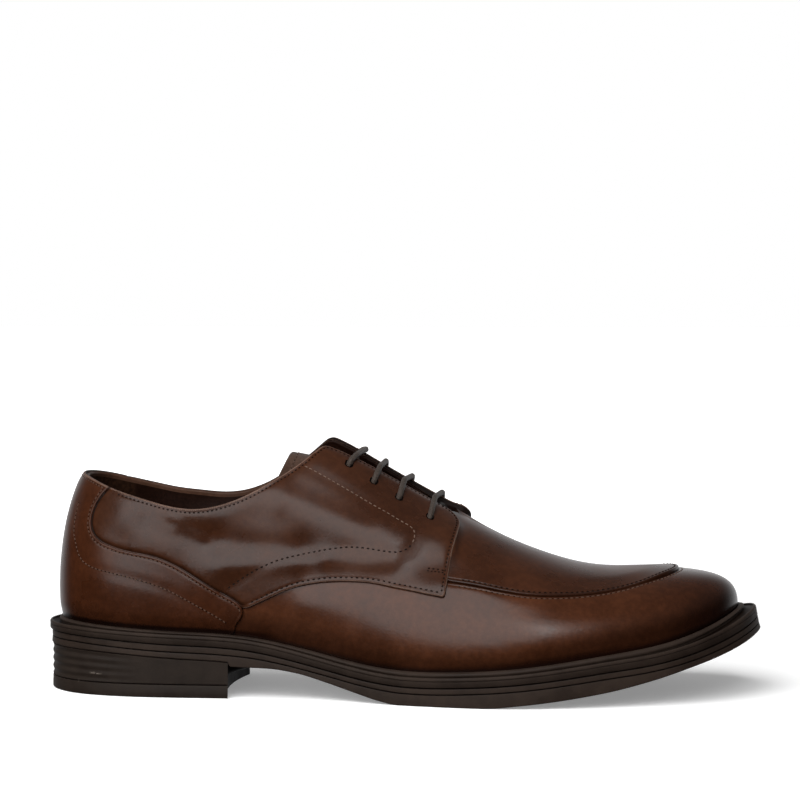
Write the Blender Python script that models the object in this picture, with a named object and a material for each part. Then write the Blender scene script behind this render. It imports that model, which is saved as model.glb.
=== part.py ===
"""Derby shoe with an apron toe, for the right foot, standing empty on its sole.

Lengths are in millimetres until a mesh is placed: x runs from the heel back to the toe,
the outer (lateral) side is at negative y, and z is the height over the floor.
"""

import bpy
import numpy as np
from mathutils import Vector
from mathutils.geometry import delaunay_2d_cdt

MM = 0.001
GAP = 0.3

# Thickness of each layer of leather, and how the facings stand off the vamp
WALL = 2.0
QUARTER_THICK = 1.3
COUNTER_THICK = 1.4
APRON_THICK = 1.0
TONGUE_THICK = 1.6
INSOLE_THICK = 3.4
FACING_LIFT = 1.5
OVERLAY_GAP = 0.4
PANEL_GAP = 0.5

# Throat between the facings, and how far the medial facing and its lace holes are set forward
THROAT_HALF_GAP = 8.0
THROAT_FRONT_X = 176.0
THROAT_BACK_X = 108.0
MEDIAL_FORWARD = 2.6
EYELET_FORWARD = 2.2

# The medial side stands a little higher beside the throat
MEDIAL_RISE = 5.6
MEDIAL_RISE_V = (0.5, 0.8)
MEDIAL_RISE_END_V = (0.93, 1.0)
MEDIAL_RISE_X = (100.0, 122.0)
MEDIAL_RISE_END_X = (118.0, 205.0)

# Lace: four straight bars through pairs of punched holes
LACE_RADIUS = 1.4
EYELET_RADIUS = 1.9
LACE_RISE = 0.3
LACE_EDGE_SHARE = 0.32
PUNCH_OUT = 6.0
PUNCH_IN = 4.5

# Heel: its hollowed front (the breast) reaches forward between two shares of its width
BREAST_X = 82.6
BREAST_HOLLOW = 4.0
BREAST_REACH = 16.0
BREAST_LATERAL = (0.2, 0.45)
BREAST_MEDIAL = (0.8, 1.0)
BREAST_MEDIAL_LOSS = 0.6
BREAST_RISE = (0.0, 0.6)
BREAST_TOP = 0.7
TOP_PIECE_HEIGHT = 5.4
TOP_PIECE_EDGE = 0.6
TOP_PIECE_FLARE = 0.1
HEEL_INSET = 0.2
SEAT_INSET = 0.9
SEAT_INSET_X = (40.0, 95.0)
RIB_DEPTH = 0.45
RIB_FADE_X = (14.0, 48.0)
RIB_LEVELS = 8

# Plan of the feather line, where the upper meets the welt, and the welt's width outside it
HEEL_BACK = (7.0, 0.0)
TOE_TIP = (297.0, 8.0)
PLAN = [
    # x, lateral, medial
    (14, 17.0, 17.0),
    (36, 28.0, 27.5),
    (75, 30.0, 28.5),
    (120, 32.5, 28.5),
    (165, 42.0, 35.5),
    (205, 46.0, 45.0),
    (240, 40.5, 46.0),
    (268, 30.5, 40.0),
    (288, 14.5, 28.5),
]
WELT = [
    # x, width
    (7, 6.6),
    (14, 5.8),
    (36, 4.6),
    (75, 4.1),
    (165, 4.5),
    (240, 5.0),
    (268, 6.0),
    (297, 7.5),
]

# Section shapes along the last: heights in mm, the last three as shares of width or height
LAST = [
    # x, feather z, ridge z, ridge y, flare, rise, shoulder
    (0, 31.8, 113.0, 0.0, 0.03, 0.36, 0.07),
    (30, 29.7, 113.0, 0.0, 0.15, 0.36, 0.14),
    (60, 28.0, 113.0, 0.0, 0.15, 0.36, 0.16),
    (90, 26.2, 112.0, 1.0, 0.15, 0.37, 0.22),
    (120, 20.5, 105.0, 2.5, 0.13, 0.40, 0.32),
    (150, 14.9, 89.5, 4.0, 0.11, 0.44, 0.42),
    (180, 14.7, 72.3, 5.0, 0.09, 0.48, 0.46),
    (210, 17.2, 58.8, 6.0, 0.07, 0.55, 0.46),
    (240, 21.7, 51.4, 7.5, 0.05, 0.66, 0.42),
    (270, 27.3, 52.8, 8.0, 0.02, 0.76, 0.36),
    (300, 38.5, 52.8, 8.0, 0.00, 0.86, 0.28),
]
HEEL_FAN_X = 90.0
TOE_FAN_X = 222.0

# Sole layers: depths under the feather line, and the height of the outsole's underside
SOLE = [
    # x, welt crest, welt underside, midsole underside, outsole bottom z
    (7, 2.2, 5.9, 8.8, 19.6),
    (20, 1.6, 5.4, 8.2, 19.2),
    (30, 1.5, 5.4, 8.3, 18.7),
    (60, 1.3, 5.6, 8.6, 16.7),
    (82.8, 1.4, 5.7, 8.6, 15.4),
    (83.6, 1.4, 5.7, 8.6, 13.5),
    (100, 1.6, 5.9, 8.5, 13.0),
    (112, 1.8, 6.1, 8.5, 11.4),
    (125, 2.0, 6.2, 8.5, 8.0),
    (140, 2.2, 6.4, 8.8, 3.5),
    (148, 2.3, 6.5, 9.0, 1.3),
    (156, 2.4, 6.6, 9.2, 0.0),
    (190, 2.4, 6.6, 9.2, 0.0),
    (205, 2.4, 6.6, 9.2, 1.3),
    (238, 2.6, 6.9, 9.5, 6.1),
    (258, 2.8, 7.2, 9.8, 10.9),
    (272, 2.6, 7.0, 9.6, 15.6),
    (282, 2.2, 6.6, 9.2, 19.4),
    (291, 1.4, 5.8, 8.4, 23.6),
    (297, 0.5, 4.7, 7.5, 27.2),
]
TOE_LEAN = 0.2
TOE_LEAN_FROM_X = 255.0
SOLE_EDGE = 0.7
SOLE_FLARE = 0.2

# Top of the welt: a bead beside the upper, then a groove, then a ridge along the outer edge
WELT_BEAD = [
    # spread outside the feather line, share of the crest's depth, depth added
    (GAP, 0.25, 0.0),
    (1.2, 0.10, 0.0),
    (2.3, 0.45, 0.0),
    (2.9, 1.00, 0.7),
]
WELT_RIDGE = [
    # spread outside the welt's width, depth under the crest
    (-0.9, 0.3),
    (-0.4, 0.0),
    (0.1, 0.6),
]

# Collar line of each side, as heights
TOPLINE = [
    # x, lateral z, medial z
    (10, 93.5, 93.5),
    (18, 92.0, 92.4),
    (31, 87.4, 88.9),
    (48, 82.3, 84.6),
    (66, 78.7, 81.8),
    (76, 79.7, 81.6),
    (95, 87.0, 87.6),
    (112.6, 98.4, 100.0),
    (123, 106.0, 108.2),
]
COLLAR_END_STEEP = 10.0

# Edges of the panels as seen from the side
COUNTER_EDGE = [
    # x, z
    (30.8, 87.6),
    (24.4, 78.0),
    (23.4, 70.7),
    (25.5, 66.6),
    (30.7, 63.6),
    (38.8, 61.3),
    (51.9, 58.8),
    (65.1, 52.8),
    (79.8, 44.1),
    (89.0, 36.7),
    (85.3, 30.4),
]
COUNTER_FOOT_V = 0.012
QUARTER_LOW_EDGE = [
    # x, z
    (90.5, 38.0),
    (97.8, 41.4),
    (110.1, 46.7),
    (121.4, 49.2),
    (132.8, 50.0),
    (143.9, 49.4),
    (157.0, 47.3),
    (173.0, 44.2),
]
QUARTER_FRONT_EDGE = [
    # x, v
    (173.6, 0.350),
    (175.2, 0.439),
    (176.4, 0.592),
    (177.8, 0.792),
    (178.0, 0.895),
]
QUARTER_CORNER_BACK = 4.0
QUARTER_CORNER_V = 0.9
FACING_LIFT_V = (0.55, 0.88)
FACING_LIFT_X = (95.0, 125.0)
MEDIAL_LIFT = 1.5
MEDIAL_LIFT_X = (140.0, 172.0)
FACING_UNDERLIFT = 0.7
APRON_SEAM = [
    # x, z
    (174.0, 50.7),
    (187.5, 48.4),
    (208.5, 44.8),
    (229.8, 44.3),
    (247.5, 46.2),
    (257.3, 48.4),
    (264.5, 50.2),
]
APRON_TIP_V = 0.83
APRON_BACK_X = 180.0

EYELETS = [
    # x, v
    (130.6, 0.815),
    (141.4, 0.785),
    (152.2, 0.769),
    (165.8, 0.744),
]

# Tongue: its centre line lies this far under the upper's outside
TONGUE_LEAN = 7.5
TONGUE = [
    # x, inset, share of the section's height at its sides
    (107.8, 7.6, 0.62),
    (122, 6.2, 0.62),
    (150, 4.8, 0.66),
    (172, 3.2, 0.70),
    (188, 2.5, 0.74),
]

# Mesh density
SIDE_COLUMNS = 36
HEEL_COLUMNS = 16
HEEL_CROWDING = 1.15
BREAST_POINTS = 10
UPPER_ROWS = 9
APRON_COLUMNS = 15
APRON_ROWS = 7
TONGUE_ROWS = 13
LACE_POINTS = 11
PUNCH_SIDES = 10
PANEL_STEP = 7.0
EDGE_STEP = 5.0
FINE = 401
LINE_POINTS = 60
WELD = 0.02
SHARP_DEGREES = 35.0

# About the length of one side of the foot and of one section, so that turn and v compare
SPAN = np.array([330.0, 90.0])

COLOURS = {
    # name: colour, roughness
    "leather": ((0.075, 0.033, 0.022), 0.42),
    "suede": ((0.10, 0.055, 0.040), 0.85),
    "lining": ((0.055, 0.030, 0.022), 0.70),
    "rubber": ((0.030, 0.024, 0.021), 0.60),
    "lace": ((0.060, 0.042, 0.034), 0.80),
}


def spline(knots, values, closed=False):
    """A cubic spline through the values at the knots. A closed one repeats its first value at the end."""
    knots = np.asarray(knots, float)
    values = np.asarray(values, float)
    step = np.diff(knots)
    slope = np.diff(values, axis=0) / step[:, None]
    count = len(knots) - 1 if closed else len(knots)
    system = np.zeros((count, count))
    target = np.zeros((count, values.shape[1]))
    for i in range(count):
        if not closed and i in (0, count - 1):
            system[i, i] = 1.0
            continue
        before, after = step[i - 1], step[i]
        system[i, i - 1] += before
        system[i, i] += 2 * (before + after)
        system[i, (i + 1) % count] += after
        target[i] = 6 * (slope[i] - slope[i - 1])
    bend = np.linalg.solve(system, target)
    if closed:
        bend = np.vstack([bend, bend[:1]])

    def at(x):
        x = np.asarray(x, float)
        i = np.clip(np.searchsorted(knots, x) - 1, 0, len(step) - 1)
        width = step[i][..., None]
        left = (knots[i + 1] - x)[..., None]
        right = (x - knots[i])[..., None]
        curve = (bend[i] * left**3 + bend[i + 1] * right**3) / (6 * width)
        start = (values[i] / width - bend[i] * width / 6) * left
        end = (values[i + 1] / width - bend[i + 1] * width / 6) * right
        return curve + start + end

    return at


def table_spline(rows):
    rows = np.asarray(rows, float)
    return spline(rows[:, 0], rows[:, 1:])


def table_line(rows, column):
    """Straight-line reading of one column of a table against its first."""
    rows = np.asarray(rows, float)
    return lambda x: np.interp(x, rows[:, 0], rows[:, column])


def ramp(x, start, end):
    """Rises smoothly from 0 at start to 1 at end."""
    t = np.clip((np.asarray(x, float) - start) / (end - start), 0.0, 1.0)
    return t * t * (3 - 2 * t)


def run_along(points):
    """Length along a line from its start to each of its points."""
    return np.concatenate([[0], np.cumsum(np.linalg.norm(np.diff(points, axis=0), axis=1))])


def closed_plan():
    """The feather line, read by turn: 0 at the heel back, 1 at the toe tip, 2 at the heel again."""
    lateral = [(x, -out) for x, out, _ in PLAN]
    medial = [(x, out) for x, _, out in reversed(PLAN)]
    points = np.array([HEEL_BACK] + lateral + [TOE_TIP] + medial + [HEEL_BACK], float)
    knots = run_along(points)
    curve = spline(knots, points, closed=True)
    fine = np.linspace(0, knots[-1], 6 * FINE)
    run = run_along(curve(fine))
    to_tip = np.interp(knots[len(PLAN) + 1], fine, run)
    turns = np.where(run < to_tip, run / to_tip, 1 + (run - to_tip) / (run[-1] - to_tip))
    return lambda turn: curve(np.interp(np.mod(turn, 2.0), turns, fine))


feather = closed_plan()
last = table_spline(LAST)
welt_width = table_line(WELT, 1)
welt_crest = table_line(SOLE, 1)
welt_under = table_line(SOLE, 2)
midsole_under = table_line(SOLE, 3)
outsole_bottom = table_line(SOLE, 4)
topline = table_spline(TOPLINE)


def is_medial(turn):
    return np.mod(turn, 2.0) > 1.0


def feather_z(x):
    return last(x)[..., 0]


def spine_x(turn):
    """Where a section's plane meets the ridge: it fans out round the heel and the toe."""
    x = 0.5 * (feather(turn)[..., 0] + feather(-turn)[..., 0])
    heel = np.clip(HEEL_FAN_X - x, 0, None) ** 2 / (2 * (HEEL_FAN_X - HEEL_BACK[0]))
    toe = np.clip(x - TOE_FAN_X, 0, None) ** 2 / (2 * (TOE_TIP[0] - TOE_FAN_X))
    return x + heel - toe


def surface(turn, v, rise=MEDIAL_RISE):
    """The last's outside. v is 0 on the feather line and 1 on the ridge."""
    turn, v = np.broadcast_arrays(np.asarray(turn, float), np.asarray(v, float))
    foot = feather(turn)
    ridge_x = spine_x(turn)
    ridge = last(ridge_x)
    section = last(foot[..., 0])
    low, high, top = 3 * (1 - v) ** 2 * v, 3 * (1 - v) * v**2, v**3
    inward = -section[..., 3] * low + section[..., 5] * high + top
    upward = section[..., 4] * low + high + top
    x = foot[..., 0] + (ridge_x - foot[..., 0]) * inward
    y = foot[..., 1] + (ridge[..., 2] - foot[..., 1]) * inward
    z = section[..., 0] + (ridge[..., 1] - section[..., 0]) * upward
    beside = ramp(v, *MEDIAL_RISE_V) * (1 - ramp(v, *MEDIAL_RISE_END_V))
    along = ramp(x, *MEDIAL_RISE_X) * (1 - ramp(x, *MEDIAL_RISE_END_X))
    z = z + rise * beside * along * is_medial(turn)
    return np.stack([x, y, z], -1)


def normal(turn, v, rise=MEDIAL_RISE):
    step, top_v = 1e-3, 0.97
    v = np.clip(v, step, top_v)
    along = surface(turn + step, v, rise) - surface(turn - step, v, rise)
    up = surface(turn, v + step, rise) - surface(turn, v - step, rise)
    out = np.cross(along, up)
    return out / np.linalg.norm(out, axis=-1, keepdims=True)


def skin(turn, v, offset, rise=MEDIAL_RISE):
    """A point this far outside the last's surface."""
    return surface(turn, v, rise) + normal(turn, v, rise) * np.asarray(offset, float)[..., None]


def place_at(x, v, medial=False):
    """The turn and v of the point with this x and v on one side of the last."""
    sign = -1.0 if medial else 1.0
    side = np.linspace(0, 1, 2 * FINE)
    return sign * np.interp(x, surface(sign * side, v)[:, 0], side), v


def locate(rows, medial=False):
    """The turn and v of points given by x and z on one side of the last, found by Newton's steps."""
    want = np.array(rows, float)
    turn = (want[:, 0] - HEEL_BACK[0]) / (TOE_TIP[0] - HEEL_BACK[0])
    v = np.full(len(want), 0.45)
    sign = -1.0 if medial else 1.0
    step, most_turn, most_v, top_v = 1e-4, 0.03, 0.05, 0.95
    for _ in range(40):
        here = surface(sign * turn, v)[:, [0, 2]]
        by_turn = (surface(sign * (turn + step), v)[:, [0, 2]] - here) / step
        by_v = (surface(sign * turn, v + step)[:, [0, 2]] - here) / step
        miss = want - here
        area = by_turn[:, 0] * by_v[:, 1] - by_turn[:, 1] * by_v[:, 0]
        turn_move = (miss[:, 0] * by_v[:, 1] - miss[:, 1] * by_v[:, 0]) / area
        v_move = (by_turn[:, 0] * miss[:, 1] - by_turn[:, 1] * miss[:, 0]) / area
        turn = turn + np.clip(turn_move, -most_turn, most_turn)
        v = np.clip(v + np.clip(v_move, -most_v, most_v), 0.0, top_v)
    return np.stack([sign * turn, v], -1)


def open_v(turn):
    """v of the upper's top edge: the collar, then the throat, then 1 where the vamp is whole."""
    turn = np.atleast_1d(np.asarray(turn, float))
    v = np.linspace(0, 1, FINE)
    p = surface(turn[:, None], v[None, :])
    heights = topline(np.clip(p[..., 0], TOPLINE[0][0], TOPLINE[-1][0]))
    collar_z = np.where(is_medial(turn)[:, None], heights[..., 1], heights[..., 0])
    past_end = np.clip(p[..., 0] - TOPLINE[-1][0], 0, None)
    past_collar = p[..., 2] - collar_z - COLLAR_END_STEEP * past_end
    rounded = np.clip(p[..., 0] - (THROAT_FRONT_X - THROAT_HALF_GAP), 0, THROAT_HALF_GAP)
    half_gap = np.sqrt(THROAT_HALF_GAP**2 - rounded**2)
    past_facing = half_gap - np.abs(p[..., 1] - last(p[..., 0])[..., 2])
    facing_here = (half_gap > 0) & (p[..., 0] > THROAT_BACK_X)
    inside = np.maximum(past_collar, np.where(facing_here, past_facing, -1.0)) < 0
    first = np.where(inside.all(axis=1), len(v) - 1, np.argmin(inside, axis=1))
    return v[first]


def merged(points, index):
    """The mean of the points that share an index."""
    total = np.zeros((index.max() + 1, 3))
    np.add.at(total, index, points)
    return total / np.bincount(index)[:, None]


def solid(base, outer, inner, faces):
    """A closed solid between two sheets over a base: points equal on the base are welded, edges walled."""
    keys = np.round(base / WELD).astype(np.int64)
    index = np.unique(keys, axis=0, return_inverse=True)[1].reshape(-1)
    count = index.max() + 1
    sheet = []
    for face in faces:
        ring = []
        for corner in index[list(face)]:
            if corner not in ring:
                ring.append(int(corner))
        if len(ring) > 2:
            sheet.append(ring)
    edges = {(a, b) for ring in sheet for a, b in zip(ring, ring[1:] + ring[:1])}
    walls = [(b, a, a + count, b + count) for a, b in edges if (b, a) not in edges]
    back = [[corner + count for corner in reversed(ring)] for ring in sheet]
    return np.vstack([merged(outer, index), merged(inner, index)]), sheet + back + sorted(walls)


def grid_faces(columns, rows, closed=False):
    """Quads of a grid of columns, each of some rows, numbered column by column."""
    faces = []
    for k in range(columns if closed else columns - 1):
        left, right = k * rows, (k + 1) % columns * rows
        for j in range(rows - 1):
            faces.append((left + j, right + j, right + j + 1, left + j + 1))
    return faces


def foot_ring(turns, spread, depth):
    """Points beside the feather line: spread outside it in plan and depth under it."""
    step = 1e-3
    foot = feather(turns)
    along = feather(turns + step) - feather(turns - step)
    along /= np.linalg.norm(along, axis=-1, keepdims=True)
    outward = np.stack([along[..., 1], -along[..., 0]], -1)
    lean = TOE_LEAN * ramp(foot[..., 0], TOE_LEAN_FROM_X, TOE_TIP[0]) * np.clip(depth, 0, None)
    plan = foot + outward * (spread + np.where(np.asarray(spread) > 0, lean, 0.0))[..., None]
    return np.concatenate([plan, (feather_z(foot[..., 0]) - depth)[..., None]], -1)


def column_turns():
    """Turns of the sections all round, with extra ones at the breast and at the throat's front."""
    side = np.linspace(0, 1, SIDE_COLUMNS + 1)
    run_x = feather(side)[:, 0]
    marks = (BREAST_X + 0.3, BREAST_X + 1.4, THROAT_FRONT_X - 3, THROAT_FRONT_X + 0.5)
    extra = np.interp(marks, run_x, side)
    side = np.unique(np.concatenate([side, extra]))
    return np.concatenate([side, 2 - side[-2:0:-1]])


TURNS = column_turns()


def cap_faces(count, base, upward):
    """Closes a ring all round the foot by rungs from one side to the other."""
    faces = []
    for k in range(count // 2):
        rung = [k, k + 1, count - k - 1, (count - k) % count]
        ring = [base + corner for corner in dict.fromkeys(rung)]
        faces.append(ring if upward else ring[::-1])
    return faces


def ring_walls(count, levels):
    """Walls between rings stacked from the top down."""
    faces = []
    for level in range(levels - 1):
        for k in range(count):
            after = (k + 1) % count
            top, low = level * count, (level + 1) * count
            faces.append((top + k, low + k, low + after, top + after))
    return faces


def plate(rings):
    """A solid through rings round the foot, from the top down."""
    count = len(rings[0])
    faces = ring_walls(count, len(rings))
    faces += cap_faces(count, 0, True)
    faces += cap_faces(count, count * (len(rings) - 1), False)
    return np.vstack(rings), faces


def foot_x():
    return feather(TURNS)[:, 0]


def sole_width(x):
    """The sole's width outside the feather line: it is set in under the welt's lip round the heel."""
    return welt_width(x) - SEAT_INSET * (1 - ramp(x, *SEAT_INSET_X))


def insole():
    x = foot_x()
    spread = np.full(len(TURNS), -WALL - 2 * GAP)
    under = welt_under(x)
    return plate([foot_ring(TURNS, spread, under - INSOLE_THICK), foot_ring(TURNS, spread, under)])


def midsole():
    x = foot_x()
    width = sole_width(x)
    top = welt_under(x) + GAP
    low = midsole_under(x)
    return plate([foot_ring(TURNS, width, top), foot_ring(TURNS, width, low)])


def outsole():
    """The tread layer, with its arch, its flat spot under the ball and its toe spring."""
    x = foot_x()
    width = sole_width(x)
    top = midsole_under(x) + GAP
    low = feather_z(x) - outsole_bottom(x)
    rings = [
        foot_ring(TURNS, width, top),
        foot_ring(TURNS, width + SOLE_FLARE, low - SOLE_EDGE),
        foot_ring(TURNS, width - SOLE_EDGE, low),
    ]
    return plate(rings)


def welt():
    """A ring round the upper's foot: an inner bead, a groove and an outer ridge."""
    x = foot_x()
    width = welt_width(x)
    crest = welt_crest(x)
    under = welt_under(x)
    flat = np.ones(len(x))
    section = [(GAP * flat, under)]
    section += [(spread * flat, share * crest + added) for spread, share, added in WELT_BEAD]
    section += [(width + spread, crest + added) for spread, added in WELT_RIDGE]
    section += [(width, under)]
    rings = [foot_ring(TURNS, spread, depth) for spread, depth in section]
    count = len(TURNS)
    faces = ring_walls(count, len(rings))
    base = count * (len(rings) - 1)
    faces += [(base + k, k, (k + 1) % count, base + (k + 1) % count) for k in range(count)]
    return np.vstack(rings), faces


def heel_turns():
    """Turns round the heel from the breast's medial corner to its lateral one."""
    share = np.linspace(0, 1, HEEL_COLUMNS) ** HEEL_CROWDING
    lateral = place_at(BREAST_X, 0.0)[0] * share
    medial = place_at(BREAST_X, 0.0, medial=True)[0] * share
    return np.concatenate([medial[:0:-1], lateral])


def heel_ring(turns, inset, z, reach):
    """A level of the heel: round the back, then across its hollowed breast."""
    back = foot_ring(turns, sole_width(feather(turns)[:, 0]) - inset, np.zeros(len(turns)))
    back[:, 2] = z
    share = np.linspace(0, 1, BREAST_POINTS + 2)[1:-1]
    across = back[-1] + (back[0] - back[-1]) * share[:, None]
    hollow = BREAST_HOLLOW * 4 * share * (1 - share)
    loss = BREAST_MEDIAL_LOSS * ramp(share, *BREAST_MEDIAL)
    across[:, 0] += reach * ramp(share, *BREAST_LATERAL) * (1 - loss) - hollow
    return np.vstack([back, across])


def flat_cap(ring, base, upward):
    """Triangles that close a ring whose plan may be hollow."""
    plan = [Vector((p[0], p[1])) for p in ring]
    made = delaunay_2d_cdt(plan, [], [list(range(len(ring)))], 1, 1e-6)
    faces = [[base + made[3][corner][0] for corner in face] for face in made[2]]
    return faces if upward else [face[::-1] for face in faces]


def heel_solid(rings):
    count = len(rings[0])
    faces = ring_walls(count, len(rings))
    faces += flat_cap(rings[0], 0, True)
    faces += flat_cap(rings[-1], count * (len(rings) - 1), False)
    return np.vstack(rings), faces


def heel_block():
    """Stands under the outsole's seat, with soft ribs round its back."""
    turns = heel_turns()
    seat = outsole_bottom(np.clip(feather(turns)[:, 0], 0, BREAST_X)) - GAP
    low = TOP_PIECE_HEIGHT + GAP
    fade = 1 - ramp(feather(turns)[:, 0], *RIB_FADE_X)
    rings = []
    for level in range(RIB_LEVELS, -1, -1):
        share = level / RIB_LEVELS
        groove = RIB_DEPTH * fade * (level % 2)
        reach = BREAST_REACH * ramp(share, *BREAST_RISE) * (share < BREAST_TOP)
        rings.append(heel_ring(turns, HEEL_INSET + groove, low + (seat - low) * share, reach))
    return heel_solid(rings)


def heel_top_piece():
    turns = heel_turns()
    flat = np.ones(len(turns))
    rings = [
        heel_ring(turns, HEEL_INSET, TOP_PIECE_HEIGHT * flat, 0.0),
        heel_ring(turns, HEEL_INSET - TOP_PIECE_FLARE, TOP_PIECE_EDGE * flat, 0.0),
        heel_ring(turns, HEEL_INSET + TOP_PIECE_EDGE, 0.0 * flat, 0.0),
    ]
    return heel_solid(rings)


def toe_pole(turns, v):
    """Turns with the sections that end beside the toe's pole brought onto it at the ridge."""
    beside = 1.2
    near = np.abs(spine_x(turns) - spine_x(np.array(1.0))) < beside
    return np.where(near & (v >= 1.0), 1.0, turns)


def band(turns, low, high, rows, outside, inside):
    """The surface and two sheets off it, over columns from v low to v high."""
    share = np.linspace(0, 1, rows)
    v = low[:, None] + (high - low)[:, None] * share[None, :]
    turn = toe_pole(np.repeat(turns[:, None], rows, axis=1), v)
    return [skin(turn, v, np.full(v.shape, offset)) for offset in (0.0, outside, inside)]


def upper():
    """The hollow shell: vamp and quarters on their lining, open at collar, throat and underneath."""
    top = open_v(TURNS)
    sheets = band(TURNS, np.zeros(len(TURNS)), top, UPPER_ROWS, 0.0, -WALL)
    x = foot_x()
    skirt = welt_under(x)
    for i, spread in enumerate((0.0, 0.0, -WALL)):
        foot = foot_ring(TURNS, np.full(len(x), spread), skirt)
        sheets[i] = np.concatenate([foot[:, None], sheets[i]], axis=1).reshape(-1, 3)
    return solid(*sheets, grid_faces(len(TURNS), UPPER_ROWS + 1, closed=True))


def apron_v():
    """v of the apron's seam by turn, the same on both sides."""
    places = locate(APRON_SEAM)
    turns = np.concatenate([places[:, 0], [1.0], 2 - places[::-1, 0]])
    v = np.concatenate([places[:, 1], [APRON_TIP_V], places[::-1, 1]])
    seam = spline(turns, v[:, None])
    return lambda turn: seam(np.mod(turn, 2.0))[..., 0]


def apron():
    """The panel on top of the vamp, inside its seam."""
    start, _ = place_at(APRON_BACK_X, 0.0)
    later, _ = place_at(APRON_BACK_X + MEDIAL_FORWARD, 0.0)
    lateral = np.concatenate([[start], np.linspace(later, 1, APRON_COLUMNS)])
    turns = np.concatenate([lateral, 2 - lateral[-2:0:-1]])
    low = apron_v()(turns)
    high = np.ones(len(turns))
    sheets = band(turns, low, high, APRON_ROWS, OVERLAY_GAP + APRON_THICK, OVERLAY_GAP)
    return solid(*[sheet.reshape(-1, 3) for sheet in sheets], grid_faces(len(turns), APRON_ROWS))


def tongue():
    """Lies under the facings and stands a little over their top."""
    x = np.linspace(TONGUE[0][0], TONGUE[-1][0], TONGUE_ROWS)
    inset = table_line(TONGUE, 1)(x)
    edge = table_line(TONGUE, 2)(x)
    across = np.linspace(-1, 1, TONGUE_ROWS)
    lean = TONGUE_LEAN * across[None, :] ** 2 * np.linspace(1, 0, TONGUE_ROWS)[:, None]
    turns, _ = place_at(x[:, None] - lean, 0.0)
    turn = np.where(across[None, :] < 0, turns, 2 - turns)
    v = 1 - np.abs(across)[None, :] * (1 - edge)[:, None]
    deep = np.broadcast_to(inset[:, None], v.shape)
    sheets = [skin(turn, v, offset, rise=0.0) for offset in (0 * deep, -deep, -deep - TONGUE_THICK)]
    faces = [face[::-1] for face in grid_faces(len(x), len(across))]
    return solid(*[sheet.reshape(-1, 3) for sheet in sheets], faces)


def even_line(points):
    """Evenly spaced points along a line of turn and v."""
    run = run_along(points * SPAN)
    count = max(2, int(round(run[-1] / EDGE_STEP)) + 1)
    at = np.linspace(0, run[-1], count)
    return np.stack([np.interp(at, run, points[:, i]) for i in (0, 1)], -1)


def outline_of(runs):
    """One closed outline from runs of points in order, leaving out points that nearly coincide."""
    kept = []
    for place in np.vstack(runs):
        last_place = kept[-1] if kept else place + 1.0
        away = np.linalg.norm((place - last_place) * SPAN)
        if away > 0.25 * EDGE_STEP:
            kept.append(place)
    return np.array(kept)


def smooth_line(places):
    """A smooth line of turn and v through some places."""
    knots = run_along(places * SPAN)
    return spline(knots, places)(np.linspace(0, knots[-1], LINE_POINTS))


def aside(line, distance):
    """A line moved sideways on the surface, to the left of its run."""
    along = np.gradient(line * SPAN, axis=0)
    along /= np.linalg.norm(along, axis=1, keepdims=True)
    return line + distance * np.stack([-along[:, 1], along[:, 0]], -1) / SPAN


def inside_outline(points, outline):
    """Which points lie inside a closed outline."""
    found = np.zeros(len(points), bool)
    for a, b in zip(outline, np.roll(outline, -1, axis=0)):
        crosses = (a[1] > points[:, 1]) != (b[1] > points[:, 1])
        rise = b[1] - a[1] if b[1] != a[1] else 1.0
        at_x = a[0] + (points[:, 1] - a[1]) / rise * (b[0] - a[0])
        found ^= crosses & (points[:, 0] < at_x)
    return found


def panel(outline, offsets):
    """A panel of leather on the surface inside an outline of turn and v."""
    edge = outline * SPAN
    low, high = edge.min(axis=0), edge.max(axis=0)
    row_step = PANEL_STEP * np.sin(np.radians(60))
    inner = []
    for i, v in enumerate(np.arange(low[1], high[1], row_step)):
        start = low[0] + PANEL_STEP * 0.5 * (i % 2)
        inner += [(turn, v) for turn in np.arange(start, high[0], PANEL_STEP)]
    inner = np.array(inner)
    inner = inner[inside_outline(inner, edge)]
    away = np.linalg.norm(inner[:, None] - edge[None, :], axis=2).min(axis=1)
    inner = inner[away > 0.6 * PANEL_STEP]
    points = [Vector(p) for p in np.vstack([edge, inner])]
    made = delaunay_2d_cdt(points, [], [list(range(len(edge)))], 1, 1e-6)
    place = np.array([tuple(p) for p in made[0]]) / SPAN
    turn, v = place[:, 0], place[:, 1]
    outside, inside = offsets(turn, v)
    return solid(surface(turn, v), skin(turn, v, outside), skin(turn, v, inside), made[2])


def facing_lift(turn, v):
    """How far a facing stands up from the vamp beside the throat."""
    x = surface(turn, v)[..., 0]
    most = FACING_LIFT + MEDIAL_LIFT * ramp(x, *MEDIAL_LIFT_X) * is_medial(turn)
    return most * ramp(v, *FACING_LIFT_V) * ramp(x, *FACING_LIFT_X)


def counter_edge(medial):
    """The counter's edge from the collar to the welt, which the quarter's rear edge follows."""
    return even_line(smooth_line(locate(COUNTER_EDGE, medial)))


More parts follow.
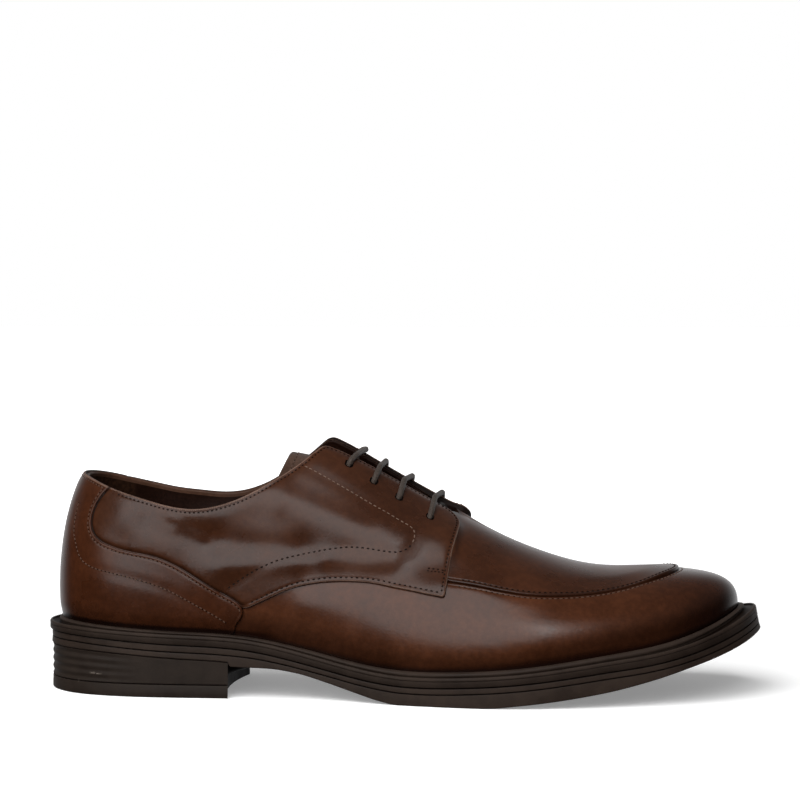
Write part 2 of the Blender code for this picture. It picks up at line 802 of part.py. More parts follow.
def quarter(medial):
    """The panel from the counter to the facing's front, under the collar and along the throat."""
    forward = MEDIAL_FORWARD if medial else 0.0
    sign = -1.0 if medial else 1.0
    counter = counter_edge(medial)
    front_end = np.argmax(np.abs(counter[:, 0]))
    counter = aside(counter, sign * PANEL_GAP)[:front_end]
    start_x, end_x = QUARTER_LOW_EDGE[0][0], QUARTER_LOW_EDGE[-1][0]
    stretch = 1 + forward / (end_x - start_x)
    low_rows = [(start_x + (x - start_x) * stretch, z) for x, z in QUARTER_LOW_EDGE]
    low = smooth_line(locate(low_rows, medial))
    front = smooth_line(np.array([place_at(x + forward, v, medial) for x, v in QUARTER_FRONT_EDGE]))
    last_turn, _ = place_at(THROAT_FRONT_X - QUARTER_CORNER_BACK + forward, QUARTER_CORNER_V)
    top_turn = sign * np.linspace(last_turn, abs(counter[0, 0]), LINE_POINTS)
    top_v = np.minimum(open_v(top_turn), throat_v(top_turn)) - PANEL_GAP / SPAN[1]
    top = np.stack([top_turn, top_v], -1)
    outline = outline_of([counter] + [even_line(run) for run in (low, front, top)])

    def offsets(turn, v):
        lift = facing_lift(turn, v)
        return OVERLAY_GAP + QUARTER_THICK + lift, OVERLAY_GAP + FACING_UNDERLIFT * lift

    return panel(outline, offsets)


def throat_v(turn):
    """v at the throat's width beside the ridge, whether or not the upper is open there."""
    v = np.linspace(0.5, 1, FINE)
    p = surface(turn[:, None], v[None, :])
    beyond = np.abs(p[..., 1] - last(p[..., 0])[..., 2]) < THROAT_HALF_GAP
    return v[np.argmax(beyond, axis=1)]


def heel_counter():
    """The panel wrapped round the heel, from the welt to the collar."""
    lateral = counter_edge(False)
    medial = counter_edge(True)
    foot_turn = np.linspace(medial[-1, 0], lateral[-1, 0], LINE_POINTS)
    foot = np.stack([foot_turn, np.full(LINE_POINTS, COUNTER_FOOT_V)], -1)
    top_turn = np.linspace(lateral[0, 0], medial[0, 0], LINE_POINTS)
    top = np.stack([top_turn, open_v(top_turn) - PANEL_GAP / SPAN[1]], -1)
    outline = outline_of([even_line(foot), lateral[::-1], even_line(top), medial])

    def offsets(turn, v):
        flat = np.ones(len(turn))
        return (OVERLAY_GAP + COUNTER_THICK) * flat, OVERLAY_GAP * flat

    return panel(outline, offsets)


def eyelet_places():
    """Turn and v of each pair of lace holes, lateral then medial."""
    pairs = []
    for x, v in EYELETS:
        pairs.append((place_at(x, v), place_at(x + EYELET_FORWARD, v, medial=True)))
    return pairs


def outside_of_quarter(turn, v):
    return OVERLAY_GAP + QUARTER_THICK + facing_lift(turn, v)


def lace_route(pair):
    """One bar of the lace: up from a hole, straight over the throat and down to the opposite hole."""
    clear = LACE_RADIUS + GAP
    hole_x = [surface(turn, v)[0] for turn, v in pair]
    to_edge = LACE_EDGE_SHARE * (hole_x[1] - hole_x[0])
    ends = []
    for (turn, v), x, way in zip(pair, hole_x, (1.0, -1.0)):
        medial = way < 0
        edge_turn, _ = place_at(x + way * to_edge, v, medial)
        edge_v = float(open_v(edge_turn)[0])
        vs = np.array([v, 0.5 * (v + edge_v), edge_v])
        turns = np.array([turn, 0.5 * (turn + edge_turn), edge_turn])
        ends.append(skin(turns, vs, outside_of_quarter(turns, vs) + clear))
    lateral, medial = ends
    middle = 0.5 * (lateral[-1] + medial[-1]) + (0, 0, LACE_RISE)
    return np.vstack([lateral, middle, medial[::-1]])


def material(name):
    made = bpy.data.materials.get(name)
    if made is None:
        made = bpy.data.materials.new(name)
        made.use_nodes = True
        colour, roughness = COLOURS[name]
        shader = made.node_tree.nodes["Principled BSDF"]
        shader.inputs["Base Color"].default_value = (*colour, 1.0)
        shader.inputs["Roughness"].default_value = roughness
        made.diffuse_color = (*colour, 1.0)
    return made


def faces_out(points, faces):
    """The faces, turned round if they enclose a negative volume."""
    volume = 0.0
    for face in faces:
        for i in range(1, len(face) - 1):
            volume += np.linalg.det(points[[face[0], face[i], face[i + 1]]])
    return faces if volume > 0 else [list(face)[::-1] for face in faces]


def add_mesh(name, points, faces, finish, shift):
    mesh = bpy.data.meshes.new(name)
    placed = (points + shift) * MM
    mesh.from_pydata(placed.tolist(), [], [list(face) for face in faces_out(points, faces)])
    mesh.validate()
    mesh.shade_smooth()
    mesh.set_sharp_from_angle(angle=np.radians(SHARP_DEGREES))
    thing = bpy.data.objects.new(name, mesh)
    bpy.context.scene.collection.objects.link(thing)
    mesh.materials.append(material(finish))
    return thing


def add_lace_bar(name, route, shift):
    run = run_along(route)
    points = spline(run, route)(np.linspace(0, run[-1], LACE_POINTS))
    curve = bpy.data.curves.new(name, "CURVE")
    curve.dimensions = "3D"
    curve.bevel_depth = LACE_RADIUS * MM
    curve.bevel_resolution = 2
    curve.use_fill_caps = True
    line = curve.splines.new("POLY")
    line.points.add(len(points) - 1)
    for point, place in zip(line.points, points):
        point.co = (*((place + shift) * MM), 1.0)
    thing = bpy.data.objects.new(name, curve)
    bpy.context.scene.collection.objects.link(thing)
    curve.materials.append(material("lace"))


def add_punches(name, places, shift):
    """Round cutters through one facing, one for each lace hole."""
    sides = PUNCH_SIDES
    angle = np.arange(sides) * 2 * np.pi / sides
    points, faces = [], []
    for turn, v in places:
        axis = normal(turn, v)
        first = np.cross(axis, (1.0, 0.0, 0.0))
        first /= np.linalg.norm(first)
        second = np.cross(axis, first)
        circle = EYELET_RADIUS * (np.cos(angle)[:, None] * first + np.sin(angle)[:, None] * second)
        base = len(points)
        for height in (PUNCH_OUT, -PUNCH_IN):
            points += list(surface(turn, v) + axis * height + circle)
        top, low = base, base + sides
        faces += [(top + k, low + k, low + (k + 1) % sides, top + (k + 1) % sides) for k in range(sides)]
        faces += [tuple(range(top, low)), tuple(range(low + sides - 1, low - 1, -1))]
    cutter = add_mesh(name, np.array(points), faces, "leather", shift)
    cutter.hide_render = True
    cutter.display_type = "WIRE"
    return cutter


def punch(thing, cutter):
    cut = thing.modifiers.new("lace holes " + cutter.name, "BOOLEAN")
    cut.operation = "DIFFERENCE"
    cut.solver = "EXACT"
    cut.object = cutter


PIECES = {
    # name: maker, finish
    "heel_top_piece": (heel_top_piece, "rubber"),
    "heel_block": (heel_block, "rubber"),
    "outsole": (outsole, "rubber"),
    "midsole": (midsole, "rubber"),
    "welt": (welt, "rubber"),
    "insole": (insole, "lining"),
    "upper": (upper, "leather"),
    "tongue": (tongue, "suede"),
    "heel_counter": (heel_counter, "leather"),
    "quarter_lateral": (lambda: quarter(False), "leather"),
    "quarter_medial": (lambda: quarter(True), "leather"),
    "apron": (apron, "leather"),
}


def main():
    for thing in list(bpy.data.objects):
        bpy.data.objects.remove(thing)
    shapes = {name: maker() for name, (maker, _) in PIECES.items()}
    everything = np.vstack([points for points, _ in shapes.values()])
    middle = 0.5 * (everything.min(axis=0) + everything.max(axis=0))
    shift = np.array([-middle[0], -middle[1], 0.0])
    made = {}
    for name, (points, faces) in shapes.items():
        made[name] = add_mesh(name, points, faces, PIECES[name][1], shift)
    pairs = eyelet_places()
    for side, label in enumerate(("lateral", "medial")):
        cutter = add_punches("punches_" + label, [pair[side] for pair in pairs], shift)
        punch(made["quarter_" + label], cutter)
        punch(made["upper"], cutter)
    for number, pair in enumerate(pairs, 1):
        add_lace_bar(f"lace_bar_{number}", lace_route(pair), shift)


main()
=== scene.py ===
"""Looks of the derby shoe: leather panels, stitching, lace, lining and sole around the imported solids.

Lengths are in millimetres until a mesh is placed, in the tables' own frame: x runs from the heel back
to the toe, the outer (lateral) side is at negative y, and z is the height over the floor. A place on
the last is a pair of turn and v, as in the part's source.
"""

import bmesh
import bpy
import numpy as np
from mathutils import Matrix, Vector
from mathutils.geometry import delaunay_2d_cdt
from mathutils.kdtree import KDTree

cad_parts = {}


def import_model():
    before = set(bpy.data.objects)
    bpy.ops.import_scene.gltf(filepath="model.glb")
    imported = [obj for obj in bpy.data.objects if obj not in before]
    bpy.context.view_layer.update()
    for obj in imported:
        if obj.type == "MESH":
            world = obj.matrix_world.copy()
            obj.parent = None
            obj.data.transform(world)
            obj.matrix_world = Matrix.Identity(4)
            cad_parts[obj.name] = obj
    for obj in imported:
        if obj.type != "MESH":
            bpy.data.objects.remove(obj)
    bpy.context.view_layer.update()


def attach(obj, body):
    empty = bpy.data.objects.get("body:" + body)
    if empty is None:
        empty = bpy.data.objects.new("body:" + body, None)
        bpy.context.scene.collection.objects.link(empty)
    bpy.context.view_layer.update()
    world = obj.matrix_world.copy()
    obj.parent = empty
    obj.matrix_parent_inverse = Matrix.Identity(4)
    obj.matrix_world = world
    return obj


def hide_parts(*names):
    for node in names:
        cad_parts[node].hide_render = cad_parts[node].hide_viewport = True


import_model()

MM = 0.001
GAP = 0.3
# Where the row's origin lies in the tables' frame
ORIGIN = np.array([153.433, 0.368, 0.0])

# Thickness of each layer of leather, and how the facings stand off the vamp
WALL = 2.0
QUARTER_THICK = 1.3
COUNTER_THICK = 1.4
APRON_THICK = 1.0
TONGUE_THICK = 1.6
INSOLE_THICK = 3.4
FACING_LIFT = 1.5
OVERLAY_GAP = 0.4

# Throat between the facings, and how far the medial facing and its lace holes are set forward
THROAT_HALF_GAP = 8.0
THROAT_FRONT_X = 176.0
THROAT_BACK_X = 108.0
MEDIAL_FORWARD = 2.6
EYELET_FORWARD = 2.2

# The medial side stands a little higher beside the throat
MEDIAL_RISE = 5.6
MEDIAL_RISE_V = (0.5, 0.8)
MEDIAL_RISE_END_V = (0.93, 1.0)
MEDIAL_RISE_X = (100.0, 122.0)
MEDIAL_RISE_END_X = (118.0, 205.0)

# Heel: its hollowed front (the breast) reaches forward between two shares of its width
BREAST_X = 82.6
BREAST_HOLLOW = 4.0
BREAST_REACH = 16.0
BREAST_LATERAL = (0.2, 0.45)
BREAST_MEDIAL = (0.8, 1.0)
BREAST_MEDIAL_LOSS = 0.6
BREAST_RISE = (0.0, 0.6)
BREAST_TOP = (0.66, 0.74)
TOP_PIECE_HEIGHT = 5.4
TOP_PIECE_EDGE = 0.6
HEEL_INSET = 0.2
SEAT_INSET = 0.9
SEAT_INSET_X = (40.0, 95.0)
RIB_DEPTH = 0.45
RIB_COUNT = 4
RIB_FADE_X = (14.0, 48.0)

# Plan of the feather line, where the upper meets the welt, and the welt's width outside it
HEEL_BACK = (7.0, 0.0)
TOE_TIP = (297.0, 8.0)
PLAN = [
    # x, lateral, medial
    (14, 17.0, 17.0),
    (36, 28.0, 27.5),
    (75, 30.0, 28.5),
    (120, 32.5, 28.5),
    (165, 42.0, 35.5),
    (205, 46.0, 45.0),
    (240, 40.5, 46.0),
    (268, 30.5, 40.0),
    (288, 14.5, 28.5),
]
WELT = [
    # x, width
    (7, 6.6),
    (14, 5.8),
    (36, 4.6),
    (75, 4.1),
    (165, 4.5),
    (240, 5.0),
    (268, 6.0),
    (297, 7.5),
]

# Section shapes along the last: heights in mm, the last three as shares of width or height
LAST = [
    # x, feather z, ridge z, ridge y, flare, rise, shoulder
    (0, 31.8, 113.0, 0.0, 0.03, 0.36, 0.07),
    (30, 29.7, 113.0, 0.0, 0.15, 0.36, 0.14),
    (60, 28.0, 113.0, 0.0, 0.15, 0.36, 0.16),
    (90, 26.2, 112.0, 1.0, 0.15, 0.37, 0.22),
    (120, 20.5, 105.0, 2.5, 0.13, 0.40, 0.32),
    (150, 14.9, 89.5, 4.0, 0.11, 0.44, 0.42),
    (180, 14.7, 72.3, 5.0, 0.09, 0.48, 0.46),
    (210, 17.2, 58.8, 6.0, 0.07, 0.55, 0.46),
    (240, 21.7, 51.4, 7.5, 0.05, 0.66, 0.42),
    (270, 27.3, 52.8, 8.0, 0.02, 0.76, 0.36),
    (300, 38.5, 52.8, 8.0, 0.00, 0.86, 0.28),
]
HEEL_FAN_X = 90.0
TOE_FAN_X = 222.0

# Sole layers: depths under the feather line, and the height of the outsole's underside
SOLE = [
    # x, welt crest, welt underside, midsole underside, outsole bottom z
    (7, 2.2, 5.9, 8.8, 19.6),
    (20, 1.6, 5.4, 8.2, 19.2),
    (30, 1.5, 5.4, 8.3, 18.7),
    (60, 1.3, 5.6, 8.6, 16.7),
    (82.8, 1.4, 5.7, 8.6, 15.4),
    (83.6, 1.4, 5.7, 8.6, 13.5),
    (100, 1.6, 5.9, 8.5, 13.0),
    (112, 1.8, 6.1, 8.5, 11.4),
    (125, 2.0, 6.2, 8.5, 8.0),
    (140, 2.2, 6.4, 8.8, 3.5),
    (148, 2.3, 6.5, 9.0, 1.3),
    (156, 2.4, 6.6, 9.2, 0.0),
    (190, 2.4, 6.6, 9.2, 0.0),
    (205, 2.4, 6.6, 9.2, 1.3),
    (238, 2.6, 6.9, 9.5, 6.1),
    (258, 2.8, 7.2, 9.8, 10.9),
    (272, 2.6, 7.0, 9.6, 15.6),
    (282, 2.2, 6.6, 9.2, 19.4),
    (291, 1.4, 5.8, 8.4, 23.6),
    (297, 0.5, 4.7, 7.5, 27.2),
]
TOE_LEAN = 0.2
TOE_LEAN_FROM_X = 255.0
SOLE_FLARE = 0.2
SOLE_ROUND = 0.4

# Top of the welt: a bead beside the upper, then a groove, then a ridge along the outer edge
WELT_BEAD = [
    # spread outside the feather line, share of the crest's depth, depth added
    (0.1, 0.80, 0.0),
    (0.4, 0.42, 0.0),
    (1.0, 0.18, 0.0),
    (1.75, 0.24, 0.0),
    (2.3, 0.45, 0.0),
    (2.5, 0.68, 0.0),
    (2.35, 0.92, 0.0),
    (2.05, 1.00, 0.35),
    (2.15, 1.00, 1.1),
    (2.6, 1.00, 1.35),
]
WELT_RIDGE = [
    # spread outside the welt's width, depth under the crest
    (-1.35, 1.0),
    (-1.1, 0.3),
    (-0.8, 0.03),
    (-0.4, 0.0),
    (-0.08, 0.2),
    (0.05, 0.6),
    (0.05, 1.3),
    (-0.2, 1.5),
    (0.05, 1.7),
]

# Painted shade in the welt's grooves, and along the edges of the sole's layers
WELT_GROOVE_SHADE = [
    # place along the welt's section in rows of the two tables above, reach, how dark
    (0.0, 1.0, 1.0),
    (8.5, 1.9, 1.0),
    (17.0, 0.8, 0.9),
]
LAYER_EDGE_SHADE = (1.0, 0.9, 0.45, 0.0, 0.0, 0.45, 0.9, 1.0)

# Collar line of each side, as heights
TOPLINE = [
    # x, lateral z, medial z
    (10, 93.5, 93.5),
    (18, 92.0, 92.4),
    (31, 87.4, 88.9),
    (48, 82.3, 84.6),
    (66, 78.7, 81.8),
    (76, 79.7, 81.6),
    (95, 87.0, 87.6),
    (112.6, 98.4, 100.0),
    (123, 106.0, 108.2),
]
COLLAR_END_STEEP = 10.0
COLLAR_END_ROUND = 3.0

# Edges of the panels as seen from the side
COUNTER_EDGE = [
    # x, z
    (30.8, 87.6),
    (24.4, 78.0),
    (23.4, 70.7),
    (25.5, 66.6),
    (30.7, 63.6),
    (38.8, 61.3),
    (51.9, 58.8),
    (65.1, 52.8),
    (79.8, 44.1),
    (89.0, 36.7),
    (85.3, 30.4),
]
COUNTER_FOOT_V = 0.0
QUARTER_LOW_EDGE = [
    # x, z
    (90.5, 38.0),
    (97.8, 41.4),
    (110.1, 46.7),
    (121.4, 49.2),
    (132.8, 50.0),
    (143.9, 49.4),
    (157.0, 47.1),
    (173.4, 43.9),
]
QUARTER_FRONT_LATERAL = [
    # x, v
    (173.9, 0.340),
    (174.4, 0.379),
    (175.2, 0.466),
    (176.1, 0.578),
    (177.0, 0.671),
    (177.6, 0.750),
    (177.4, 0.802),
    (176.3, 0.833),
    (174.1, 0.864),
    (171.3, 0.884),
]
QUARTER_FRONT_MEDIAL = [
    # x, v
    (176.2, 0.350),
    (177.8, 0.439),
    (179.0, 0.592),
    (180.3, 0.740),
    (180.6, 0.805),
    (180.0, 0.848),
    (178.4, 0.878),
    (176.0, 0.895),
]
FACING_END_LATERAL = 167.5
FACING_END_MEDIAL = 172.6
FRONT_SWELL = 0.6
FRONT_SWELL_V = (0.76, 0.84)
FRONT_SWELL_X = (-0.3, 2.8)
FRONT_SWELL_BACK_X = (-12.0, -6.0)
FACING_LIFT_V = (0.55, 0.88)
FACING_LIFT_X = (95.0, 125.0)
MEDIAL_LIFT = 1.5
MEDIAL_LIFT_X = (140.0, 172.0)
FACING_UNDERLIFT = 0.55
SHELL_LIFT = 0.9
SHELL_LIFT_END_X = (150.0, 172.0)
APRON_SEAM = [
    # x, z
    (174.0, 50.7),
    (187.5, 48.4),
    (208.5, 44.8),
    (229.8, 44.3),
    (247.5, 46.2),
    (257.3, 48.4),
    (264.5, 50.2),
]
APRON_TIP_V = 0.83
APRON_BACK_X = 168.0

EYELETS = [
    # x, v, how far forward the bar leans over the near facing, and over the far one
    (130.6, 0.804, 2.2, 2.3),
    (141.4, 0.773, 1.1, -0.2),
    (152.2, 0.751, 0.6, 0.0),
    (165.4, 0.724, 0.5, -0.7),
]
EYELET_RADIUS = 1.9
EYELET_DEPTH = 0.7
LACE_RADIUS = 1.22
LACE_OVER = [
    # share of the way from a hole to the facing's edge, height over the facing
    (0.02, -0.9),
    (0.10, 0.55),
    (0.30, 1.15),
    (1.00, 1.15),
]
LACE_STEP = 0.3
LACE_SMOOTHING = 16

# Tongue: its centre line lies this far under the upper's outside
TONGUE_LEAN = 7.5
TONGUE = [
    # x, inset, share of the section's height at its sides
    (107.8, 7.6, 0.62),
    (122, 6.2, 0.62),
    (150, 4.8, 0.66),
    (172, 3.2, 0.70),
    (188, 2.5, 0.74),
]

# Sewn lines besides those that follow an edge, as seen from the side
COUNTER_SECOND_ROW = [
    # x, z
    (17.8, 82.6),
    (15.9, 74.6),
    (15.4, 68.6),
    (16.4, 63.6),
    (18.8, 57.6),
    (22.7, 54.6),
    (30.3, 52.5),
    (43.2, 49.7),
    (57.0, 45.3),
    (66.6, 40.4),
    (76.1, 35.2),
    (81.6, 31.9),
]
FACING_ROW = [
    # x, z
    (112.6, 96.0),
    (126.0, 89.0),
    (142.0, 79.8),
    (155.0, 71.9),
    (159.6, 68.6),
    (160.0, 66.0),
    (158.6, 63.2),
    (154.8, 61.3),
    (147.3, 61.6),
    (135.2, 63.5),
    (126.7, 63.0),
    (111.9, 60.3),
    (99.9, 56.6),
    (85.3, 48.3),
    (80.2, 44.6),
]
# The facing's row is drawn in the lit copy of the thread, as painted light, over this share of its length,
# and in the shaded copy after it
LIT_ROW_SHARE = 0.385
BARTACK = [
    # x, z
    (165.9, 54.5),
    (169.6, 53.9),
    (173.4, 53.3),
]
BARTACK_PITCH = 1.7
BARTACK_WIDTH = 1.1
STITCH_PITCH = 2.3
CLOSE_PITCH = 1.9
STITCH_INSET = 1.6
COLLAR_INSET = 1.5
STITCHES = {
    # colour, where light and dark are lit and shaded copies of one thread as painted light and shade:
    # length, radius, radius of the needle holes
    "light": (1.5, 0.23, 0.0),
    "brown": (1.45, 0.26, 0.26),
    "dark": (1.25, 0.32, 0.0),
}
COUNTER_INSET = 1.3
# The leather is drawn in along the sewn lines
TROUGH_DEPTH = 0.22
TROUGH_WIDTH = 2.2

# Edges of a panel: how full it is there, its rounding, its groove, and how it thins towards the edge
EDGES = {
    # kind: share of thickness, radius, groove, groove's distance, thinning, its reach, width of the rim
    "cut": (0.55, 0.75, 0.12, 1.6, 0.0, 1.0, 0.62),
    "lap": (0.5, 0.5, 0.15, 1.3, 0.0, 1.0, 0.0),
    "collar": (0.5, 0.6, 0.15, 1.5, 0.4, 5.0, 0.72),
    "tuck": (0.4, 0.6, 0.35, 1.65, 0.75, 3.6, 0.0),
    "foot": (1.0, 0.5, 0.0, 1.0, 0.6, 6.0, 0.0),
}
GROOVE_WIDTH = 0.45
PANEL_SINK = 0.25

# Soft troughs and ridges of wear on the upper, each along a line as seen from the lateral side. Many of the
# half widths and heights come from a fit to the sheen in the photo and were not placed by hand.
CREASES = [
    # x, z at one end, x, z at the other, half width, height
    (63.8, 79.6, 95.8, 86.9, 9.4, 1.8),
    (49.3, 73.8, 76.1, 65.4, 6.1, -1.1),
    (76.1, 65.0, 113.0, 61.9, 5.6, -1.1),
    (115.1, 61.5, 132.1, 57.6, 8.0, -1.3),
    (105.9, 81.7, 154.5, 62.8, 6.7, 1.6),
    (40.7, 77.3, 72.8, 57.2, 11.3, 1.1),
    (81.4, 55.6, 113.0, 58.2, 4.6, 0.7),
    (104.0, 57.4, 124.0, 59.6, 3.6, 0.4),
    (124.0, 59.0, 152.0, 57.6, 4.2, 0.75),
    (116.0, 51.0, 152.0, 50.4, 5.4, -1.35),
    (147.6, 73.8, 173.8, 65.1, 6.6, 1.4),
    (157.0, 58.2, 173.9, 55.6, 7.5, -1.3),
    (172.8, 67.0, 172.2, 50.0, 5.0, 0.6),
    (37.6, 63.8, 61.4, 58.0, 11.0, -1.0),
    (49.0, 73.8, 59.9, 69.7, 1.1, 0.14),
    (56.9, 76.4, 72.3, 67.7, 1.1, 0.18),
    (59.8, 71.2, 76.1, 65.6, 1.1, 0.18),
    (65.1, 72.9, 75.0, 68.2, 1.0, -0.15),
]

# Mesh density
SIDE_COLUMNS = 150
HEEL_COLUMNS = 70
BREAST_POINTS = 40
PANEL_STEP = 1.4
EDGE_STEP = 0.8
EDGE_RINGS = (0.2, 0.45, 0.8, 1.2, 1.6, 1.9, 2.2, 2.7, 3.4)
FINE = 401
LINE_POINTS = 240
WELD = 0.004
SHARP_DEGREES = 42.0

# About the length of one side of the foot and of one section, so that turn and v compare
SPAN = np.array([330.0, 90.0])


# Curves and tables


def spline(knots, values, closed=False):
    """A cubic spline through the values at the knots. A closed one repeats its first value at the end."""
    knots = np.asarray(knots, float)
    values = np.asarray(values, float)
    step = np.diff(knots)
    slope = np.diff(values, axis=0) / step[:, None]
    count = len(knots) - 1 if closed else len(knots)
    system = np.zeros((count, count))
    target = np.zeros((count, values.shape[1]))
    for i in range(count):
        if not closed and i in (0, count - 1):
            system[i, i] = 1.0
            continue
        before, after = step[i - 1], step[i]
        system[i, i - 1] += before
        system[i, i] += 2 * (before + after)
        system[i, (i + 1) % count] += after
        target[i] = 6 * (slope[i] - slope[i - 1])
    bend = np.linalg.solve(system, target)
    if closed:
        bend = np.vstack([bend, bend[:1]])

    def at(x):
        x = np.asarray(x, float)
        i = np.clip(np.searchsorted(knots, x) - 1, 0, len(step) - 1)
        width = step[i][..., None]
        left = (knots[i + 1] - x)[..., None]
        right = (x - knots[i])[..., None]
        curve = (bend[i] * left**3 + bend[i + 1] * right**3) / (6 * width)
        start = (values[i] / width - bend[i] * width / 6) * left
        end = (values[i + 1] / width - bend[i + 1] * width / 6) * right
        return curve + start + end

    return at


def table_spline(rows):
    rows = np.asarray(rows, float)
    return spline(rows[:, 0], rows[:, 1:])


def table_smooth(rows, column):
    """A smooth reading of one column of a table against its first, which never overshoots."""
    rows = np.asarray(rows, float)
    x, y = rows[:, 0], rows[:, column]
    step = np.diff(x)
    slope = np.diff(y) / step
    before, after = slope[:-1], slope[1:]
    same_way = before * after > 0
    total = np.where(same_way, before + after, 1.0)
    middle = np.where(same_way, 2 * before * after / total, 0.0)
    lean = np.concatenate([slope[:1], middle, slope[-1:]])

    def at(q):
        q = np.clip(np.asarray(q, float), x[0], x[-1])
        i = np.clip(np.searchsorted(x, q) - 1, 0, len(step) - 1)
        t = (q - x[i]) / step[i]
        start = y[i] * (1 + 2 * t) * (1 - t) ** 2 + lean[i] * step[i] * t * (1 - t) ** 2
        end = y[i + 1] * t**2 * (3 - 2 * t) + lean[i + 1] * step[i] * t**2 * (t - 1)
        return start + end

    return at


def ramp(x, start, end):
    """Rises smoothly from 0 at start to 1 at end."""
    t = np.clip((np.asarray(x, float) - start) / (end - start), 0.0, 1.0)
    return t * t * (3 - 2 * t)


def hump(x, centre, width):
    """A soft bump of height 1 round a centre."""
    return np.exp(-(((x - centre) / width) ** 2))


def run_along(points):
    """Length along a line from its start to each of its points."""
    return np.concatenate([[0], np.cumsum(np.linalg.norm(np.diff(points, axis=0), axis=1))])


def unit(vectors):
    return vectors / np.linalg.norm(vectors, axis=-1, keepdims=True)


# The last's surface


def closed_plan():
    """The feather line, read by turn: 0 at the heel back, 1 at the toe tip, 2 at the heel again."""
    lateral = [(x, -out) for x, out, _ in PLAN]
    medial = [(x, out) for x, _, out in reversed(PLAN)]
    points = np.array([HEEL_BACK] + lateral + [TOE_TIP] + medial + [HEEL_BACK], float)
    knots = run_along(points)
    curve = spline(knots, points, closed=True)
    fine = np.linspace(0, knots[-1], 6 * FINE)
    run = run_along(curve(fine))
    to_tip = np.interp(knots[len(PLAN) + 1], fine, run)
    turns = np.where(run < to_tip, run / to_tip, 1 + (run - to_tip) / (run[-1] - to_tip))
    return lambda turn: curve(np.interp(np.mod(turn, 2.0), turns, fine))


feather = closed_plan()
last = table_spline(LAST)
topline = table_spline(TOPLINE)
welt_width = table_smooth(WELT, 1)
welt_crest = table_smooth(SOLE, 1)
welt_under = table_smooth(SOLE, 2)
midsole_under = table_smooth(SOLE, 3)
outsole_bottom = table_smooth(SOLE, 4)


def is_medial(turn):
    return np.mod(turn, 2.0) > 1.0


def feather_z(x):
    return last(x)[..., 0]


def spine_x(turn):
    """Where a section's plane meets the ridge: it fans out round the heel and the toe."""
    x = 0.5 * (feather(turn)[..., 0] + feather(-turn)[..., 0])
    heel = np.clip(HEEL_FAN_X - x, 0, None) ** 2 / (2 * (HEEL_FAN_X - HEEL_BACK[0]))
    toe = np.clip(x - TOE_FAN_X, 0, None) ** 2 / (2 * (TOE_TIP[0] - TOE_FAN_X))
    return x + heel - toe


def surface(turn, v, rise=MEDIAL_RISE):
    """The last's outside. v is 0 on the feather line and 1 on the ridge."""
    turn, v = np.broadcast_arrays(np.asarray(turn, float), np.asarray(v, float))
    foot = feather(turn)
    ridge_x = spine_x(turn)
    ridge = last(ridge_x)
    section = last(foot[..., 0])
    low, high, top = 3 * (1 - v) ** 2 * v, 3 * (1 - v) * v**2, v**3
    inward = -section[..., 3] * low + section[..., 5] * high + top
    upward = section[..., 4] * low + high + top
    x = foot[..., 0] + (ridge_x - foot[..., 0]) * inward
    y = foot[..., 1] + (ridge[..., 2] - foot[..., 1]) * inward
    z = section[..., 0] + (ridge[..., 1] - section[..., 0]) * upward
    beside = ramp(v, *MEDIAL_RISE_V) * (1 - ramp(v, *MEDIAL_RISE_END_V))
    along = ramp(x, *MEDIAL_RISE_X) * (1 - ramp(x, *MEDIAL_RISE_END_X))
    z = z + rise * beside * along * is_medial(turn)
    return np.stack([x, y, z], -1)


def normal(turn, v, rise=MEDIAL_RISE):
    step, top_v = 1e-3, 0.97
    v = np.clip(v, step, top_v)
    along = surface(turn + step, v, rise) - surface(turn - step, v, rise)
    up = surface(turn, v + step, rise) - surface(turn, v - step, rise)
    return unit(np.cross(along, up))


def skin(turn, v, offset, rise=MEDIAL_RISE):
    """A point this far outside the last's surface."""
    return surface(turn, v, rise) + normal(turn, v, rise) * np.asarray(offset, float)[..., None]


def worn(points):
    """Height of the creases at points of the surface, the same on both sides."""
    height = np.zeros(points.shape[:-1])
    at = points[..., [0, 2]]
    for x0, z0, x1, z1, half_width, most in CREASES:
        start, run = np.array([x0, z0]), np.array([x1 - x0, z1 - z0])
        share = ((at - start) @ run) / (run @ run)
        near = start + np.clip(share, 0, 1)[..., None] * run
        away = np.linalg.norm(at - near, axis=-1)
        height += most * hump(away, 0.0, half_width)
    return height


def nearest_to(points):
    """A function that gives the distance from each of some points to the nearest of these."""
    tree = KDTree(len(points))
    for i, point in enumerate(points):
        tree.insert(point, i)
    tree.balance()
    return lambda others: np.array([tree.find(other)[2] for other in others])


def side_line(rows):
    """Points close together on a smooth line through rows of x and z, seen from the side."""
    rows = np.asarray(rows, float)
    knots = run_along(rows)
    line = spline(knots, rows)(np.linspace(0, knots[-1], LINE_POINTS))
    return np.stack([line[:, 0], np.zeros(LINE_POINTS), line[:, 1]], -1)


NEAR_SEWN = [nearest_to(side_line(rows)) for rows in (COUNTER_SECOND_ROW, FACING_ROW)]


def drawn_in(points):
    """How far the stitches along the decorative rows draw the leather in."""
    seen = points * (1.0, 0.0, 1.0)
    return TROUGH_DEPTH * sum(hump(near(seen), 0.0, TROUGH_WIDTH) for near in NEAR_SEWN)


def place_at(x, v, medial=False):
    """The turn and v of the point with this x and v on one side of the last."""
    sign = -1.0 if medial else 1.0
    side = np.linspace(0, 1, 2 * FINE)
    return sign * np.interp(x, surface(sign * side, v)[:, 0], side), v


